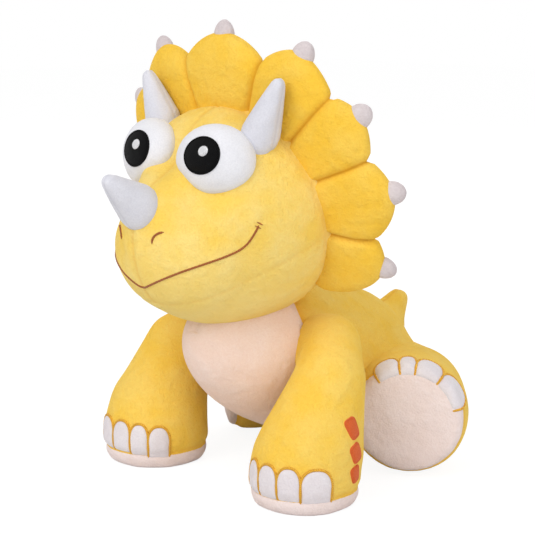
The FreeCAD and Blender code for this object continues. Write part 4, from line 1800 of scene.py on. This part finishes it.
def add_horns(head: Head, finishes: Finishes) -> None:
    """Makes the two brow horns and the nose horn, and sews them to the head.

    Args:
        head: The head, sewn.
        finishes: The finishes.
    """
    out, ahead = math.radians(25), math.radians(56)
    brow_horn = Horn(
        name="brow_horn_skin_left",
        node="brow_horn",
        base=Vector((0.0426, -0.1190, 0.2325)),
        lean=Vector((math.sin(out), 0, math.cos(out))),
        length=0.0460,
        base_radius=0.0146,
        tip_radius=0.0040,
        bend=Vector((0.0010, 0, 0.0)),
    )
    nose_horn = Horn(
        name="nose_horn_skin",
        node="nose_horn",
        base=Vector((0, -0.1740, 0.1885)),
        lean=Vector((0, -math.sin(ahead), math.cos(ahead))),
        length=0.0420,
        base_radius=0.0176,
        tip_radius=0.0044,
        bend=Vector((0, 0, 0.002)),
    )
    skin = head.form.tree()
    for horn, across in ((brow_horn, Vector((0, 1, 0))), (nose_horn, Vector((1, 0, 0)))):
        horn.build()
        horn.sew(across, skin)
        horn.dress(finishes, horn is brow_horn)


@dataclass
class Frill:
    """Nine padded lobes round the back of the head, sewn through between them, with a pale tip on each.

    Each row of lobes has a lobe's turn from straight up, in degrees, and its reach, and then the turn and
    the reach of the notch beyond it. The first is the middle lobe, and the others have a mirror image.
    """

    place: Matrix
    sweep: float = math.radians(19)
    root_forward: float = 0.0205
    lobes: tuple[tuple[float, float, float, float], ...] = (
        (0.0, 0.1155, 19.5, 0.1045),
        (33.0, 0.1218, 48.8, 0.1140),
        (59.0, 0.1215, 72.4, 0.1120),
        (84.5, 0.1195, 101.2, 0.1030),
        (113.0, 0.1090, 136.0, 0.0780),
    )
    inner: float = 0.058
    half_thick: float = 0.0087
    roundness: float = 1.75
    columns: int = 14
    rows: int = 20
    tip_root: float = 0.003
    tip_length: float = 0.0115
    tip_radius: float = 0.0085
    tip_half_thick: float = 0.0056

    def lobe_ends(self) -> list[tuple[float, float]]:
        """Returns each lobe's turn from straight up and its reach, from the animal's right to its left."""
        left = [(math.radians(turn), reach) for turn, reach, _, _ in self.lobes]
        return [(-turn, reach) for turn, reach in left[:0:-1]] + left

    def notches(self) -> list[tuple[float, float]]:
        """Returns the turn and the reach of each notch, and of the frill's two ends."""
        left = [(math.radians(turn), reach) for _, _, turn, reach in self.lobes]
        return [(-turn, reach) for turn, reach in left[::-1]] + left

    def spot(self, turn: float, out: float, thick: float) -> Vector:
        """Finds a point of the frill.

        Args:
            turn: Its turn from straight up, in radians.
            out: Its distance from the head's axis.
            thick: Its height over the frill's middle surface.

        Returns:
            The point.
        """
        ahead = self.root_forward - out * math.tan(self.sweep)
        level = Vector((math.sin(turn) * out, math.cos(turn) * out, ahead))
        heading = Vector((math.sin(turn), math.cos(turn), 0))
        face = heading * math.sin(self.sweep) + Vector((0, 0, math.cos(self.sweep)))
        return self.place @ (level + face * thick)

    def build(self) -> None:
        """Shapes the quilted frill: two layers, held where they are sewn, and blown up between."""
        points, pins = [], []
        ends, notches = self.lobe_ends(), self.notches()
        across = len(ends) * self.columns
        started = self.half_thick * 0.9
        for layer in (1, -1):
            for column in range(across + 1):
                lobe = min(column // self.columns, len(ends) - 1)
                share = (column - lobe * self.columns) / self.columns * 2 - 1
                peak, reach = ends[lobe]
                side, low = notches[lobe + (1 if share > 0 else 0)]
                turn = peak + abs(share) * (side - peak)
                edge = low + (reach - low) * (1 - abs(share) ** self.roundness)
                for row in range(self.rows + 1):
                    out = math.sin(row / self.rows * math.pi / 2)
                    puff = (0.74 + 0.26 * (1 - share**2) ** 0.8) * (1 - out**8) ** 0.5
                    puff *= min(1.0, 0.20 + out * 1.1)
                    reached = self.inner + (edge - self.inner) * out
                    points.append(self.spot(turn, reached, layer * (0.0006 + started * puff)))
                    pins.append(1.0 if row in (0, self.rows) or column % self.columns == 0 else 0.0)
        height = self.rows + 1
        back = (across + 1) * height
        faces = strips(across, self.rows)
        faces += [face[::-1] for face in strips(across, self.rows, back)]
        for column in range(across):
            for row, order in ((0, 1), (self.rows, -1)):
                here = column * height + row
                faces.append((here, here + back, here + back + height, here + height)[::order])
        for row in range(self.rows):
            for column, order in ((0, -1), (across, 1)):
                here = column * height + row
                faces.append((here, here + back, here + back + 1, here + 1)[::order])
        self.form = Form.of("frill", points, faces)
        mesh = bmesh.new()
        mesh.from_mesh(self.form.object.data)
        bmesh.ops.recalc_face_normals(mesh, faces=mesh.faces)
        mesh.to_mesh(self.form.object.data)
        mesh.free()
        self.form.stuff(pressure=6.0, cap=0.006, pinned=np.array(pins), stiffness=8.0)
        self.form.refine()
        self.form.smooth(2)
        self.sew()

    def sew(self) -> None:
        """Draws the two layers together along the seams between the lobes, with painted shade in the grooves.
        """
        local = np.array([self.place.inverted() @ Vector(point) for point in self.form.read()])
        turns = np.arctan2(local[:, 0], local[:, 1])
        out = np.hypot(local[:, 0], local[:, 1])
        gaps = [np.abs(turns - turn) * out for turn, _ in self.notches()[1:-1]]
        distance = np.min(gaps, axis=0)
        # Painted shade: the colour is darkened strongly in the grooves between the lobes.
        self.form.crease(distance, depth=0.0030, width=0.0018, tone=0.8)

    def tips(self, finishes: Finishes) -> None:
        """Makes the nine small tips, each on its lobe's end.

        Args:
            finishes: The finishes.
        """
        for number, (turn, end) in enumerate(self.lobe_ends(), start=1):
            middle = self.spot(turn, end - self.tip_root, -0.0015)
            outward = (self.spot(turn, end, 0) - self.spot(turn, end - 0.01, 0)).normalized()
            face = (self.spot(turn, end, 0.01) - self.spot(turn, end, 0)).normalized()
            place = Matrix((outward.cross(face) * -1, face, outward)).transposed().to_4x4()
            place.translation = middle
            clay = Clay().egg(place, self.tip_radius, self.tip_half_thick, self.tip_length, self.tip_root)
            made = clay.pressed(f"tip_{number}", 0.0018, 3)
            made.refine()
            # The tips are white plush; their pinkish-grey finish is painted shade.
            finishes.dress(made, "head", "white_plush", (f"frill_tip_{number}",), 0.9, look="tip_plush")

    def dress(self, finishes: Finishes) -> None:
        """Dresses the frill and its tips.

        Args:
            finishes: The finishes.
        """
        panels = ("frill_front_panel", "frill_back_panel", "frill_stuffing")
        finishes.dress(self.form, "head", "yellow_plush", panels, 0.9, look="frill_plush")
        self.tips(finishes)


# ----------------------------------------------------------------------
# Studio
# ----------------------------------------------------------------------


@dataclass
class Studio:
    """Camera, soft lamps and a pale floor."""

    target: Vector = Vector((0.0289, -0.0961, 0.1478))
    azimuth: float = math.radians(45)
    elevation: float = math.radians(10.1)
    distance: float = 1.1
    lens: float = 112.1
    floor_half: float = 4.0
    sky: float = 0.56

    def camera(self) -> None:
        """Sets the camera on the animal, from its front and its left."""
        data = bpy.data.cameras.new("camera")
        data.lens = self.lens
        made = bpy.data.objects.new("camera", data)
        bpy.context.scene.collection.objects.link(made)
        level = math.cos(self.elevation)
        side, ahead = math.sin(self.azimuth) * level, math.cos(self.azimuth) * level
        back = Vector((side, -ahead, math.sin(self.elevation)))
        made.location = self.target + back * self.distance
        made.rotation_euler = (-back).to_track_quat("-Z", "Y").to_euler()
        bpy.context.scene.camera = made

    def lamp(
        self, name: str, spot: Vector, power: float, size: float, colour: Colour = (1.0, 1.0, 1.0)
    ) -> None:
        """Hangs a soft square lamp that faces the animal.

        Args:
            name: The lamp's name.
            spot: Where it hangs.
            power: Its power, in watts.
            size: Its width, in metres.
            colour: The colour of its light.
        """
        data = bpy.data.lights.new(name, "AREA")
        data.energy = power
        data.size = size
        data.color = colour
        made = bpy.data.objects.new(name, data)
        bpy.context.scene.collection.objects.link(made)
        made.location = spot
        made.rotation_euler = (self.target - spot).to_track_quat("-Z", "Y").to_euler()

    def build(self) -> None:
        """Sets up the whole studio."""
        self.camera()
        self.lamp("key_lamp", Vector((0.1, -1.6, 1.5)), 20.5, 1.3, (1.0, 0.99, 0.97))
        self.lamp("side_lamp", Vector((1.7, -0.5, 0.8)), 9.0, 1.4)
        self.lamp("back_lamp", Vector((-0.9, 1.3, 1.4)), 12.0, 1.2)
        world = bpy.data.worlds.new("studio")
        world.use_nodes = True
        sky = world.node_tree.nodes["Background"]
        sky.inputs["Color"].default_value = (1.0, 1.0, 1.0, 1.0)
        level = world.node_tree.nodes.new("ShaderNodeMapRange")
        level.inputs["To Min"].default_value = self.sky
        world.node_tree.links.new(seen_directly(world.node_tree), level.inputs["Value"])
        world.node_tree.links.new(level.outputs["Result"], sky.inputs["Strength"])
        bpy.context.scene.world = world
        half = self.floor_half
        corners = [(-half, -half, 0), (half, -half, 0), (half, half, 0), (-half, half, 0)]
        floor = Form.of("floor", corners, [(0, 1, 2, 3)])
        floor.object.data.materials.append(Ground("floor", (0.80, 0.80, 0.80), 0.20).material())
        bpy.context.scene.view_settings.view_transform = "Standard"


def main() -> None:
    """Builds the animal and its studio, piece by piece."""
    logging.basicConfig(level=logging.INFO, format="%(message)s")
    Studio().build()
    finishes = Finishes()
    torso, head, foreleg, hindleg, tail = Torso(), Head(), Foreleg(), Hindleg(), Tail()
    for part in (torso, foreleg, hindleg, tail, head):
        part.build()
    for part, reach in ((foreleg, 0.009), (hindleg, 0.014), (tail, 0.012)):
        fill_corner(torso.form, part.form, reach)
    foreleg.level()
    hindleg.level()
    torso.sew()
    head.sew()
    Face(head).build(finishes)
    add_horns(head, finishes)
    frill = Frill(head.place)
    frill.build()
    for part in (torso, foreleg, hindleg, tail, head, frill):
        part.dress(finishes)


if __name__ == "__main__":
    main()
